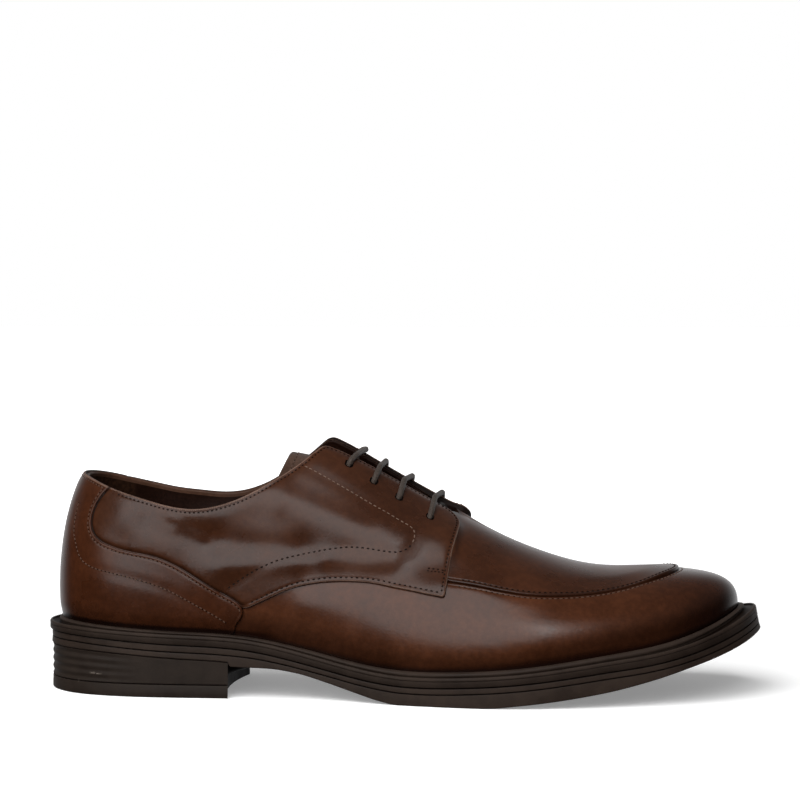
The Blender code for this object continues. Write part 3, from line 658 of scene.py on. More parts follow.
def locate(rows, medial=False):
    """The turn and v of points given by x and z on one side of the last, found by Newton's steps."""
    want = np.array(rows, float)
    turn = (want[:, 0] - HEEL_BACK[0]) / (TOE_TIP[0] - HEEL_BACK[0])
    v = np.full(len(want), 0.45)
    sign = -1.0 if medial else 1.0
    step, most_turn, most_v, top_v = 1e-4, 0.03, 0.05, 0.95
    for _ in range(40):
        here = surface(sign * turn, v)[:, [0, 2]]
        by_turn = (surface(sign * (turn + step), v)[:, [0, 2]] - here) / step
        by_v = (surface(sign * turn, v + step)[:, [0, 2]] - here) / step
        miss = want - here
        area = by_turn[:, 0] * by_v[:, 1] - by_turn[:, 1] * by_v[:, 0]
        turn_move = (miss[:, 0] * by_v[:, 1] - miss[:, 1] * by_v[:, 0]) / area
        v_move = (by_turn[:, 0] * miss[:, 1] - by_turn[:, 1] * miss[:, 0]) / area
        turn = turn + np.clip(turn_move, -most_turn, most_turn)
        v = np.clip(v + np.clip(v_move, -most_v, most_v), 0.0, top_v)
    return np.stack([sign * turn, v], -1)


def open_v(turn):
    """v of the upper's top edge: the collar, then the throat, then 1 where the vamp is whole."""
    turn = np.atleast_1d(np.asarray(turn, float))
    v = np.linspace(0, 1, FINE)
    p = surface(turn[:, None], v[None, :])
    heights = topline(np.clip(p[..., 0], TOPLINE[0][0], TOPLINE[-1][0]))
    collar_z = np.where(is_medial(turn)[:, None], heights[..., 1], heights[..., 0])
    past_end = np.clip(p[..., 0] - TOPLINE[-1][0], 0, None)
    past_collar = p[..., 2] - collar_z - COLLAR_END_STEEP * past_end
    rounded = np.clip(p[..., 0] - (THROAT_FRONT_X - THROAT_HALF_GAP), 0, THROAT_HALF_GAP)
    half_gap = np.sqrt(THROAT_HALF_GAP**2 - rounded**2)
    past_facing = half_gap - np.abs(p[..., 1] - last(p[..., 0])[..., 2])
    facing_here = (half_gap > 0) & (p[..., 0] > THROAT_BACK_X)
    past_facing = np.where(facing_here, past_facing, -10 * COLLAR_END_ROUND)
    both = np.clip(1 - np.abs(past_collar - past_facing) / COLLAR_END_ROUND, 0, 1)
    past = np.maximum(past_collar, past_facing) + 0.25 * COLLAR_END_ROUND * both**2
    beyond = past >= 0
    row = np.arange(len(turn))
    first = np.clip(np.argmax(beyond, axis=1), 1, None)
    before, after = past[row, first - 1], past[row, first]
    share = np.clip(before / np.minimum(before - after, -1e-9), 0, 1)
    return np.where(beyond.any(axis=1), v[first - 1] + share * (v[1] - v[0]), 1.0)


def throat_v(turn):
    """v at the throat's width beside the ridge, whether or not the upper is open there."""
    v = np.linspace(0.5, 1, FINE)
    p = surface(turn[:, None], v[None, :])
    short = np.abs(p[..., 1] - last(p[..., 0])[..., 2]) - THROAT_HALF_GAP
    row = np.arange(len(turn))
    first = np.clip(np.argmax(short < 0, axis=1), 1, None)
    before, after = short[row, first - 1], short[row, first]
    share = np.clip(before / np.maximum(before - after, 1e-9), 0, 1)
    return v[first - 1] + share * (v[1] - v[0])


def per_v(turn, v):
    """Millimetres of surface for one unit of v."""
    step = 1e-3
    low, high = np.clip(v - step, 0, 1), np.clip(v + step, 0, 1)
    return np.linalg.norm(surface(turn, high) - surface(turn, low), axis=-1) / (high - low)


def facing_lift(turn, v):
    """How far a facing stands up from the vamp beside the throat."""
    x = surface(turn, v)[..., 0]
    most = FACING_LIFT + MEDIAL_LIFT * ramp(x, *MEDIAL_LIFT_X) * is_medial(turn)
    return most * ramp(v, *FACING_LIFT_V) * ramp(x, *FACING_LIFT_X)


def shell_lift(turn, v):
    """How far the shell follows the facing up, which ends before the throat's front."""
    x = surface(turn, v)[..., 0]
    return SHELL_LIFT * facing_lift(turn, v) * (1 - ramp(x, *SHELL_LIFT_END_X))


def front_swell(turn, v):
    """How far the vamp swells up where it comes out from under the lateral facing."""
    rows = np.array(QUARTER_FRONT_LATERAL)
    past = surface(turn, v)[..., 0] - np.interp(v, rows[:, 1], rows[:, 0])
    beside_edge = (1 - ramp(past, *FRONT_SWELL_X)) * ramp(past, *FRONT_SWELL_BACK_X)
    most = FRONT_SWELL * facing_lift(turn, v) * ~is_medial(turn)
    return most * beside_edge * (1 - ramp(v, *FRONT_SWELL_V))


def facing_top(turn, v):
    """Height of a facing's outside over the last."""
    return OVERLAY_GAP + QUARTER_THICK + facing_lift(turn, v) + worn(surface(turn, v))


def smooth_line(places, count=LINE_POINTS):
    """A smooth line of turn and v through some places."""
    knots = run_along(places * SPAN)
    return spline(knots, places)(np.linspace(0, knots[-1], count))


def slopes(turn, v):
    """How the surface's points move with turn and with v."""
    step = 1e-3
    by_turn = (surface(turn + step, v) - surface(turn - step, v)) / (2 * step)
    by_v = (surface(turn, v + step) - surface(turn, v - step)) / (2 * step)
    return by_turn, by_v


def beside(places, distance):
    """Places moved sideways on the surface by some millimetres, to the left of their run."""
    turn, v = places[:, 0], places[:, 1]
    along = unit(np.gradient(surface(turn, v), axis=0))
    left = np.cross(normal(turn, v), along) * distance
    by_turn, by_v = slopes(turn, v)
    tt, tv, vv = (by_turn * by_turn).sum(-1), (by_turn * by_v).sum(-1), (by_v * by_v).sum(-1)
    lt, lv = (left * by_turn).sum(-1), (left * by_v).sum(-1)
    area = tt * vv - tv * tv
    return places + np.stack([(lt * vv - lv * tv) / area, (lv * tt - lt * tv) / area], -1)


# Meshes


def solid(base, outer, inner, faces, rim=None):
    """A closed mesh between two sheets over a base: points equal on the base are welded, edges walled.

    The tags that it gives with the faces are 0 on the outer sheet, 1 on the inner one, 2 on both sheets
    of the faces that rim marks, and 3 on walls.
    """
    keys = np.round(base / WELD).astype(np.int64)
    index = np.unique(keys, axis=0, return_inverse=True)[1].reshape(-1)
    count = index.max() + 1
    share = np.bincount(index)[:, None]
    sheets = []
    for points in (outer, inner):
        total = np.zeros((count, 3))
        np.add.at(total, index, points)
        sheets.append(total / share)
    sheet, marked = [], []
    for number, face in enumerate(faces):
        ring = list(dict.fromkeys(index[list(face)].tolist()))
        if len(ring) > 2:
            sheet.append(ring)
            marked.append(rim is not None and bool(rim[number]))
    edges = {(a, b) for ring in sheet for a, b in zip(ring, ring[1:] + ring[:1])}
    walls = sorted((b, a, a + count, b + count) for a, b in edges if (b, a) not in edges)
    back = [[corner + count for corner in reversed(ring)] for ring in sheet]
    tags = [2 * mark for mark in marked] + [1 + mark for mark in marked] + [3] * len(walls)
    return np.vstack(sheets), sheet + back + walls, tags


def grid_faces(columns, rows, closed=False):
    """Quads of a grid of columns, each of some rows, numbered column by column."""
    faces = []
    for k in range(columns if closed else columns - 1):
        left, right = k * rows, (k + 1) % columns * rows
        for j in range(rows - 1):
            faces.append((left + j, right + j, right + j + 1, left + j + 1))
    return faces


def ring_walls(count, levels, closed=False):
    """Walls between rings stacked from the top down; a closed stack joins its last ring to its first."""
    faces = []
    for level in range(levels if closed else levels - 1):
        top, low = level * count, (level + 1) % levels * count
        for k in range(count):
            after = (k + 1) % count
            faces.append((top + k, low + k, low + after, top + after))
    return faces


def cap_faces(count, base, upward):
    """Closes a ring all round the foot by rungs from one side to the other."""
    faces = []
    for k in range(count // 2):
        rung = [k, k + 1, count - k - 1, (count - k) % count]
        ring = [base + corner for corner in dict.fromkeys(rung)]
        faces.append(ring if upward else ring[::-1])
    return faces


def stack_faces(rings):
    """Walls between stacked rings all round the foot, closed at the top and underneath."""
    count = len(rings[0])
    faces = ring_walls(count, len(rings)) + cap_faces(count, 0, True)
    return faces + cap_faces(count, count * (len(rings) - 1), False)


def add_piece(name, points, faces, materials, replaced=(), tags=None):
    """One visible piece: a mesh in the row's frame that rides on the shoe."""
    mesh = bpy.data.meshes.new(name)
    mesh.from_pydata(((points - ORIGIN) * MM).tolist(), [], [list(face) for face in faces])
    for made in materials:
        mesh.materials.append(made)
    if tags is not None:
        mesh.polygons.foreach_set("material_index", tags)
    work = bmesh.new()
    work.from_mesh(mesh)
    bmesh.ops.recalc_face_normals(work, faces=work.faces)
    work.to_mesh(mesh)
    work.free()
    mesh.shade_smooth()
    mesh.set_sharp_from_angle(angle=np.radians(SHARP_DEGREES))
    thing = bpy.data.objects.new(name, mesh)
    bpy.context.scene.collection.objects.link(thing)
    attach(thing, "root")
    if replaced:
        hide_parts(*replaced)
    return thing


def foot_ring(turns, spread, depth):
    """Points beside the feather line: spread outside it in plan and depth under it."""
    step = 1e-3
    foot = feather(turns)
    along = unit(feather(turns + step) - feather(turns - step))
    outward = np.stack([along[..., 1], -along[..., 0]], -1)
    lean = TOE_LEAN * ramp(foot[..., 0], TOE_LEAN_FROM_X, TOE_TIP[0]) * np.clip(depth, 0, None)
    plan = foot + outward * (spread + np.where(np.asarray(spread) > 0, lean, 0.0))[..., None]
    return np.concatenate([plan, (feather_z(foot[..., 0]) - depth)[..., None]], -1)


def column_turns():
    side = np.linspace(0, 1, SIDE_COLUMNS + 1)
    marks = np.interp((BREAST_X, BREAST_X + 0.9), feather(side)[:, 0], side)
    side = np.unique(np.concatenate([side, marks]))
    return np.concatenate([side, 2 - side[-2:0:-1]])


TURNS = column_turns()
FOOT_X = feather(TURNS)[:, 0]
FLAT = np.ones(len(TURNS))


# Materials


def new_material(name, **settings):
    made = bpy.data.materials.new(name)
    made.use_nodes = True
    shader = made.node_tree.nodes["Principled BSDF"]
    for key, value in settings.items():
        shader.inputs[key.replace("_", " ")].default_value = value
    return made, made.node_tree, shader


def add_node(tree, kind, settings=None, **inputs):
    node = tree.nodes.new("ShaderNode" + kind)
    for key, value in (settings or {}).items():
        setattr(node, key, value)
    for key, value in inputs.items():
        socket = node.inputs[key.replace("_", " ")]
        if isinstance(value, bpy.types.NodeSocket):
            tree.links.new(value, socket)
        else:
            socket.default_value = value
    return node


def mixed(tree, factor, first, second, blend="MIX"):
    """A mix of two colours by a factor: each is a socket or a value."""
    node = tree.nodes.new("ShaderNodeMix")
    node.data_type = "RGBA"
    node.blend_type = blend
    for socket, value in zip((node.inputs[0], node.inputs[6], node.inputs[7]), (factor, first, second)):
        if isinstance(value, bpy.types.NodeSocket):
            tree.links.new(value, socket)
        else:
            socket.default_value = value
    return node.outputs[2]


def tinted(tree, amount, colour, tint):
    """A colour multiplied by a tint, by an amount that varies over the surface."""
    return mixed(tree, amount, colour, mixed(tree, 1.0, colour, (*tint, 1.0), "MULTIPLY"))


def ranged(tree, value, low, high, to_low=0.0, to_high=1.0):
    """A value read smoothly from one range into another."""
    node = add_node(tree, "MapRange", {"interpolation_type": "SMOOTHSTEP"}, Value=value)
    limits = {"From Min": low, "From Max": high, "To Min": to_low, "To Max": to_high}
    for key, limit in limits.items():
        node.inputs[key].default_value = limit
    return node.outputs[0]


def noise(tree, where, scale, detail=4.0, roughness=0.55):
    made = add_node(tree, "TexNoise", Vector=where, Scale=scale, Detail=detail, Roughness=roughness)
    return made.outputs[0]


def bumped(tree, shader, height, strength, distance, under=None):
    made = add_node(tree, "Bump", Height=height, Strength=strength, Distance=distance)
    if under is not None:
        tree.links.new(under.outputs[0], made.inputs["Normal"])
    tree.links.new(made.outputs[0], shader.inputs["Normal"])
    return made


def in_row(x):
    """A length along the tables' x as metres in the row's frame."""
    return (x - ORIGIN[0]) * MM


# Tints of the leather at the toe, and of the painted shade on the leather and on the sole
TOE_TINT = (0.45, 0.41, 0.40)
TOE_TINT_X = (246.0, 296.0)
PAINTED_SHADE_TINT = (0.10, 0.08, 0.07)
RUBBER_SHADE_TINT = (0.22, 0.2, 0.19)


def leather(name, dark, light, gloss=0.275, coat=0.08):
    """Waxed smooth leather: fine grain, mottled colour, darker towards the toe tip."""
    made, tree, shader = new_material(name, Coat_Weight=coat, Coat_Roughness=0.16, IOR=1.41)
    where = add_node(tree, "TexCoord").outputs["Object"]
    axes = add_node(tree, "SeparateXYZ", Vector=where).outputs
    broad = noise(tree, where, 34.0, 5.0, 0.6)
    fine = noise(tree, where, 420.0, 5.0, 0.62)
    colour = mixed(tree, ranged(tree, broad, 0.34, 0.68), (*dark, 1.0), (*light, 1.0))
    fleck = mixed(tree, ranged(tree, fine, 0.3, 0.75), (0.82, 0.8, 0.78, 1.0), (1.14, 1.13, 1.12, 1.0))
    colour = mixed(tree, 1.0, colour, fleck, "MULTIPLY")
    toe = ranged(tree, axes[0], in_row(TOE_TINT_X[0]), in_row(TOE_TINT_X[1]))
    colour = tinted(tree, toe, colour, TOE_TINT)
    # The mesh's painted shade darkens the leather's colour
    leather_shade_amount = add_node(tree, "Attribute", {"attribute_name": "painted_shade"}).outputs["Fac"]
    colour = tinted(tree, leather_shade_amount, colour, PAINTED_SHADE_TINT)
    tree.links.new(colour, shader.inputs["Base Color"])
    tree.links.new(ranged(tree, broad, 0.3, 0.7, gloss - 0.03, gloss + 0.05), shader.inputs["Roughness"])
    kind = {"feature": "SMOOTH_F1"}
    cells = add_node(tree, "TexVoronoi", kind, Vector=where, Scale=1150.0, Smoothness=0.35)
    pores = bumped(tree, shader, cells.outputs["Distance"], 0.08, 0.00022)
    soft = bumped(tree, shader, noise(tree, where, 1300.0, 4.0, 0.65), 0.05, 0.0003, pores)
    bumped(tree, shader, noise(tree, where, 55.0, 0.0), 0.02, 0.0035, soft)
    return made


def suede(name, dark, light):
    made, tree, shader = new_material(name, Roughness=0.92, Sheen_Weight=0.35, Sheen_Roughness=0.5)
    shader.inputs["Specular IOR Level"].default_value = 0.2
    where = add_node(tree, "TexCoord").outputs["Object"]
    nap = noise(tree, where, 900.0, 6.0, 0.7)
    colour = mixed(tree, ranged(tree, noise(tree, where, 90.0, 5.0), 0.3, 0.7), (*dark, 1.0), (*light, 1.0))
    fleck = mixed(tree, ranged(tree, nap, 0.3, 0.7), (0.72, 0.72, 0.72, 1.0), (1.2, 1.18, 1.15, 1.0))
    tree.links.new(mixed(tree, 1.0, colour, fleck, "MULTIPLY"), shader.inputs["Base Color"])
    bumped(tree, shader, nap, 0.55, 0.0004)
    return made


# Where the grip patch ends, over how far, and the colours of the lining and of the patch
PATCH_X = 34.0
PATCH_FADE = 1.5
LINING_SMOOTH = ((0.016, 0.0056, 0.0032, 1.0), (0.028, 0.0105, 0.0062, 1.0))
LINING_NAPPED = ((0.022, 0.0082, 0.0040, 1.0), (0.058, 0.0240, 0.0120, 1.0))


def lining(name):
    """Smooth dark lining leather with a suede grip patch round the heel."""
    made, tree, shader = new_material(name, Specular_IOR_Level=0.12)
    where = add_node(tree, "TexCoord").outputs["Object"]
    axes = add_node(tree, "SeparateXYZ", Vector=where).outputs
    edge = (in_row(PATCH_X), in_row(PATCH_X - PATCH_FADE))
    patch = ranged(tree, axes[0], *edge)
    fine = noise(tree, where, 700.0, 5.0, 0.6)
    smooth = mixed(tree, ranged(tree, fine, 0.3, 0.7), *LINING_SMOOTH)
    napped = mixed(tree, ranged(tree, fine, 0.3, 0.7), *LINING_NAPPED)
    tree.links.new(mixed(tree, patch, smooth, napped), shader.inputs["Base Color"])
    tree.links.new(ranged(tree, axes[0], *edge, 0.5, 0.92), shader.inputs["Roughness"])
    bumped(tree, shader, fine, 0.3, 0.0003)
    return made


SCUFFS = [
    # x, z in mm, half its length and half its height
    (25.5, 9.4, 3.6, 0.7),
    (17.5, 5.2, 0.5, 1.4),
]
SCUFF_COLOUR = (0.42, 0.35, 0.29, 1.0)


def product(tree, first, second):
    node = tree.nodes.new("ShaderNodeMath")
    node.operation = "MULTIPLY"
    tree.links.new(first, node.inputs[0])
    tree.links.new(second, node.inputs[1])
    return node.outputs[0]


def rubber(name, dark, light):
    """Matte moulded sole rubber with a fine texture and pale scuffs low on the heel."""
    made, tree, shader = new_material(name, IOR=1.45)
    where = add_node(tree, "TexCoord").outputs["Object"]
    axes = add_node(tree, "SeparateXYZ", Vector=where).outputs
    broad = noise(tree, where, 60.0, 5.0, 0.6)
    fine = noise(tree, where, 1500.0, 4.0, 0.6)
    colour = mixed(tree, ranged(tree, broad, 0.3, 0.7), (*dark, 1.0), (*light, 1.0))
    streak = noise(tree, where, 900.0, 4.0, 0.7)
    for x, z, half_long, half_high in SCUFFS:
        across = ranged(tree, axes[0], in_row(x - half_long), in_row(x))
        across = product(tree, across, ranged(tree, axes[0], in_row(x + half_long), in_row(x)))
        upright = ranged(tree, axes[2], (z - half_high) * MM, z * MM)
        upright = product(tree, upright, ranged(tree, axes[2], (z + half_high) * MM, z * MM))
        mark = product(tree, product(tree, across, upright), ranged(tree, streak, 0.42, 0.6))
        colour = mixed(tree, mark, colour, SCUFF_COLOUR)
    # The mesh's painted shade darkens the rubber and takes away its reflection
    rubber_shade_amount = add_node(tree, "Attribute", {"attribute_name": "painted_shade"}).outputs["Fac"]
    colour = tinted(tree, rubber_shade_amount, colour, RUBBER_SHADE_TINT)
    tree.links.new(colour, shader.inputs["Base Color"])
    tree.links.new(ranged(tree, broad, 0.3, 0.7, 0.5, 0.66), shader.inputs["Roughness"])
    tree.links.new(ranged(tree, rubber_shade_amount, 0.5, 1.0, 0.3, 0.02), shader.inputs["Specular IOR Level"])
    fine_bump = bumped(tree, shader, fine, 0.22, 0.0002)
    bumped(tree, shader, broad, 0.1, 0.001, fine_bump)
    return made


def thread(name, dark, light, sheen=0.15, shine=0.5):
    made, tree, shader = new_material(name, Roughness=0.62, Sheen_Weight=sheen, Specular_IOR_Level=shine)
    where = add_node(tree, "TexCoord").outputs["Object"]
    twist = noise(tree, where, 2600.0, 3.0)
    colour = mixed(tree, ranged(tree, twist, 0.3, 0.7), (*dark, 1.0), (*light, 1.0))
    tree.links.new(colour, shader.inputs["Base Color"])
    bumped(tree, shader, twist, 0.4, 0.0002)
    return made


# One leather in copies whose colours stand in for light and shade: the vamp's brighter, the counter's
# redder
LEATHER = leather("leather_upper", (0.100, 0.0300, 0.0108), (0.150, 0.0470, 0.0180), gloss=0.2)
LEATHER_APRON = leather("leather_apron", (0.074, 0.0228, 0.0086), (0.114, 0.0365, 0.0146))
LEATHER_QUARTER = leather("leather_quarter", (0.070, 0.0225, 0.0092), (0.108, 0.0365, 0.0155))
LEATHER_COUNTER = leather("leather_counter", (0.074, 0.0208, 0.0070), (0.115, 0.0340, 0.0125))
# Lighter cut edges: partly the leather's own edge colour, partly painted highlight
LEATHER_EDGE_AND_HIGHLIGHT = leather("leather_edge_and_highlight", (0.23, 0.130, 0.092), (0.33, 0.200, 0.150), gloss=0.5, coat=0.0)
# Near black leather as painted shade, on cut walls and on the facings' undersides
LEATHER_SHADE = leather(
    "leather_painted_shade", (0.010, 0.0042, 0.0028), (0.018, 0.0075, 0.0050), gloss=0.7, coat=0.0
)
# A lighter top rim: partly the edge's own colour, partly painted highlight
LEATHER_RIM_AND_HIGHLIGHT = leather("leather_rim_and_highlight", (0.105, 0.046, 0.026), (0.160, 0.076, 0.046), gloss=0.5, coat=0.0)
LINING = lining("lining_leather")
SUEDE = suede("tongue_suede", (0.090, 0.047, 0.031), (0.148, 0.082, 0.056))
RUBBER = rubber("sole_rubber", (0.040, 0.0256, 0.0188), (0.068, 0.0452, 0.0338))
RUBBER_LOW = rubber("heel_rubber", (0.029, 0.0195, 0.0145), (0.048, 0.0335, 0.0255))
LACE = thread("lace_cotton", (0.052, 0.037, 0.029), (0.145, 0.108, 0.086))
# One thread in three copies: light where lit and dark where in shade, as painted light and shade
THREAD_LIT_COPY = thread("thread_painted_lit", (0.25, 0.150, 0.105), (0.40, 0.265, 0.195))
THREAD = thread("thread_brown", (0.115, 0.056, 0.034), (0.205, 0.112, 0.074))
THREAD_SHADED_COPY = thread("thread_painted_shade", (0.014, 0.0062, 0.0042), (0.032, 0.0155, 0.0105), 0.0, 0.12)
PINHOLE = thread("pinhole_shade", (0.004, 0.002, 0.0015), (0.008, 0.004, 0.003), 0.0, 0.05)


# Painted shade in the leather's colour


LOW_SHADE = 0.72
LOW_SHADE_FROM = 2.0
LOW_SHADE_HEIGHT = 9.5
LOW_SHADE_TOE = (2.5, 5.0)
LOW_SHADE_ARCH = 6.0
TOE_SHADE_X = (195.0, 255.0)
ARCH_SHADE_X = (76.0, 92.0)
VAMP_SHADE_X = (140.0, 172.0)
# Share of the low shade everywhere, and what the vamp, the toe and the arch add
LOW_SHADE_SHARES = (0.45, 0.3, 0.25, 0.5)
WELT_SHADE_HEIGHT = (1.1, 3.0)
COUNTER_SHADE_WIDTH = (0.5, 1.7)
COUNTER_SHADE_LOW = 0.6
COUNTER_SHADE_Z = (62.0, 70.0)
FRONT_SHADE = 0.74
FRONT_SHADE_LOW = 0.4
FRONT_SHADE_Z = (52.0, 64.0)
FRONT_SHADE_X = (0.4, 3.4)
THROAT_SHADE_BACK_X = (THROAT_BACK_X, THROAT_BACK_X + 10.0)
THROAT_SHADE_X = (176.5, 179.5)
THROAT_SHADE_WIDTH = (11.0, 15.0)
SEAM_SHADE = 0.45
SEAM_SHADE_WIDTH = (0.6, 2.2)


def low_shade(points):
    """Painted shade, darkest just above the welt, most of all round the toe."""
    height = points[:, 2] - feather_z(points[:, 0])
    toe = ramp(points[:, 0], *TOE_SHADE_X)
    vamp = ramp(points[:, 0], *VAMP_SHADE_X)
    arch = ramp(points[:, 0], *ARCH_SHADE_X) * (1 - vamp)
    start = LOW_SHADE_FROM + LOW_SHADE_TOE[0] * toe
    end = LOW_SHADE_HEIGHT + LOW_SHADE_TOE[1] * toe + LOW_SHADE_ARCH * arch
    plain, at_vamp, at_toe, at_arch = LOW_SHADE_SHARES
    amount = plain + at_vamp * vamp + at_toe * toe + at_arch * arch
    soft = amount * LOW_SHADE * (1 - ramp((height - start) / (end - start), 0.0, 1.0))
    return np.maximum(soft, 1 - ramp(height, *WELT_SHADE_HEIGHT))


def front_shade(points):
    """Painted shadow of a facing's edge, darkest just in front of it, and more so towards its top."""
    shade = np.zeros(len(points))
    for medial in (False, True):
        line = front_line(medial)
        edge = skin(line[:, 0], line[:, 1], np.full(len(line), OVERLAY_GAP + APRON_THICK))
        past = nearest_to(edge)(points)
        ahead = points[:, 0] > np.interp(points[:, 2], edge[:, 2], edge[:, 0])
        high = FRONT_SHADE_LOW + (1 - FRONT_SHADE_LOW) * ramp(points[:, 2], *FRONT_SHADE_Z)
        shade = np.maximum(shade, FRONT_SHADE * high * ahead * (1 - ramp(past, *FRONT_SHADE_X)))
    return shade


def throat_shade(points):
    """Painted shade, dark under the facings' ends, beside the throat."""
    aside = np.abs(points[:, 1] - last(points[:, 0])[:, 2])
    x = points[:, 0]
    under = ramp(x, *THROAT_SHADE_BACK_X) * (1 - ramp(x, *THROAT_SHADE_X))
    return under * (1 - ramp(aside, *THROAT_SHADE_WIDTH))


# Painted shade beside the apron's seam
def seam_shade(points):
    start, _ = place_at(APRON_BACK_X, 0.0)
    turn = np.linspace(start, 1.0, 2 * LINE_POINTS)
    turn = np.concatenate([turn, 2 - turn])
    away = nearest_to(skin(turn, SEAM_V(turn), np.full(len(turn), 0.5)))(points)
    return SEAM_SHADE * (1 - ramp(away, *SEAM_SHADE_WIDTH))


def counter_shade(points):
    """Painted shadow, dark where a quarter goes under the counter's edge, and most of all near the collar.
    """
    shade = np.zeros(len(points))
    for medial in (False, True):
        line = counter_line(medial)
        away = nearest_to(skin(line[:, 0], line[:, 1], np.full(len(line), OVERLAY_GAP + 1.0)))(points)
        high = COUNTER_SHADE_LOW + (1 - COUNTER_SHADE_LOW) * ramp(points[:, 2], *COUNTER_SHADE_Z)
        shade = np.maximum(shade, high * (1 - ramp(away, *COUNTER_SHADE_WIDTH)))
    return shade


# Stores how much painted shade darkens each point of a piece
def set_painted_shade(thing, amounts):
    thing.data.attributes.new("painted_shade", "FLOAT", "POINT").data.foreach_set("value", amounts)


def painted_shade(thing, points, shades):
    """Keeps how much painted shade darkens each point of a piece, for its finish to read."""
    set_painted_shade(thing, np.maximum.reduce([shade(points) for shade in shades]))


# The upper's shell


def apron_v():
    """v of the apron's seam by turn, the same on both sides."""
    places = locate(APRON_SEAM)
    turns = np.concatenate([places[:, 0], [1.0], 2 - places[::-1, 0]])
    v = np.concatenate([places[:, 1], [APRON_TIP_V], places[::-1, 1]])
    seam = spline(turns, v[:, None])
    first, final = turns[0], turns[-1]
    return lambda turn: seam(np.clip(np.mod(turn, 2.0), first, final))[..., 0]


SEAM_V = apron_v()
SEAM_SWELL = 0.5
SEAM_TIP_SWELL = 0.12
SEAM_DEPTH = 0.9
APRON_TIP_X = (252.0, 266.0)
APRON_EDGE_LEVEL = 0.85
RIM_ROWS = 8
SEAM_ROWS_X = (150.0, 172.0)
SEAM_START_X = (172.0, 180.0)


def rows_between(marks, counts):
    """v of rows spaced evenly from each mark to the next, this many in each stretch."""
    parts = []
    for low, high, count in zip(marks, marks[1:], counts):
        share = np.arange(count) / count
        parts.append(low[:, None] + (high - low)[:, None] * share[None, :])
    return np.concatenate(parts + [marks[-1][:, None]], axis=1)


def toe_pole(turns, v):
    """Turns with the sections that end beside the toe's pole brought onto it at the ridge."""
    near = np.abs(spine_x(turns) - spine_x(np.array(1.0))) < 0.6
    return np.where(near & (v >= 1.0), 1.0, turns)


def edge_round(away, radius):
    """How far an edge of this radius falls back at a distance from it."""
    t = np.clip(1 - away / radius, 0, 1)
    return radius * (1 - np.sqrt(1 - t * t))


def seam_profile(away, x):
    """The vamp beside the apron's seam: it swells up to the seam, and drops into a deep line there."""
    swell = SEAM_SWELL * (1 - ramp(x, *APRON_TIP_X)) + SEAM_TIP_SWELL
    lip = swell * ramp(-away, -0.1, 0.6) * (1 - ramp(-away, 1.2, 10.0))
    return lip - SEAM_DEPTH * hump(away, 0.0, 0.4) - 0.14 * hump(away, -STITCH_INSET, 0.35)


def shell_rows(turns, top):
    """v of the shell's rows, crowded round the apron's seam and at the top edge."""
    x = feather(turns)[:, 0]
    seam = 0.5 * top + (SEAM_V(turns) - 0.5 * top) * ramp(x, *SEAM_ROWS_X)
    scale = per_v(turns, seam)
    edge = np.where(top < 1, 1.9, 7.0) / per_v(turns, np.clip(top, 0, 0.995))
    marks = [0 * top, seam - 3.2 / scale, seam + 1.6 / scale, top - edge, top]
    return rows_between(marks, (18, 22, 14, 8)), seam


def upper_shell():
    """The hollow shell: vamp and quarters' backing, with its lining inside and a rounded top edge."""
    turns = TURNS
    top = open_v(turns)
    v, seam = shell_rows(turns, top)
    turn = toe_pole(np.repeat(turns[:, None], v.shape[1], axis=1), v)
    base = surface(turn, v)
    scale = per_v(turn, np.clip(v, 0, 0.995))
    from_top = (top[:, None] - v) * scale
    from_seam = (v - seam[:, None]) * scale
    sewn = ramp(base[..., 0], *SEAM_START_X)
    wall = WALL - 0.5 * (1 - ramp(from_top, 0, 8.0)) * (top < 1)[:, None]
    fall = edge_round(from_top, 0.5 * wall) * (top < 1)[:, None]
    lift = shell_lift(turn, v)
    outer = lift - fall + worn(base) + sewn * seam_profile(from_seam, base[..., 0]) + front_swell(turn, v)
    inner = lift - wall + fall + worn(base)
    sheets = [base, skin(turn, v, outer), skin(turn, v, inner)]
    skirt = welt_under(FOOT_X) - GAP
    for i, spread in enumerate((0.0, 0.0, -WALL)):
        feet = [foot_ring(turns, spread * FLAT, skirt * share)[:, None] for share in (1.0, 0.66, 0.33)]
        sheets[i] = np.concatenate(feet + [sheets[i]], axis=1)
    rows = sheets[0].shape[1]
    bound = (top < 1) & (base[:, -1, 0] < THROAT_BACK_X + 6.0)
    rim = (bound[:, None] & (np.arange(rows - 1) >= rows - 1 - RIM_ROWS)[None, :]).reshape(-1)
    sheets = [sheet.reshape(-1, 3) for sheet in sheets]
    points, faces, tags = solid(*sheets, grid_faces(len(turns), rows, closed=True), rim)
    # The top rim and walls take the lighter rim leather with its painted highlight
    materials = [LEATHER, LINING, LEATHER_RIM_AND_HIGHLIGHT, LEATHER_RIM_AND_HIGHLIGHT]
    made = add_piece("upper_shell", points, faces, materials, ["upper"], tags)
    # Painted shade near the welt, in front of the facings, beside the seam and under the throat
    painted_shade(made, points, [low_shade, front_shade, seam_shade, throat_shade])


def apron_height(away, x):
    """The apron over the last: low beside its seam but at the tip, with a lip and a stitch groove."""
    full = OVERLAY_GAP + APRON_THICK
    level = APRON_EDGE_LEVEL + (full - APRON_EDGE_LEVEL) * ramp(x, *APRON_TIP_X)
    body = level + (full - level) * ramp(away, 2.5, 14.0)
    rounded = 0.5 * body * edge_round(away, 0.5) / 0.5
    return body - rounded + 0.12 * hump(away, 0.8, 0.5) - 0.14 * hump(away, STITCH_INSET, 0.35)


def apron_columns():
    start, _ = place_at(APRON_BACK_X, 0.0)
    lateral = np.linspace(start, 1, 90)
    return np.concatenate([lateral, 2 - lateral[-2::-1]])


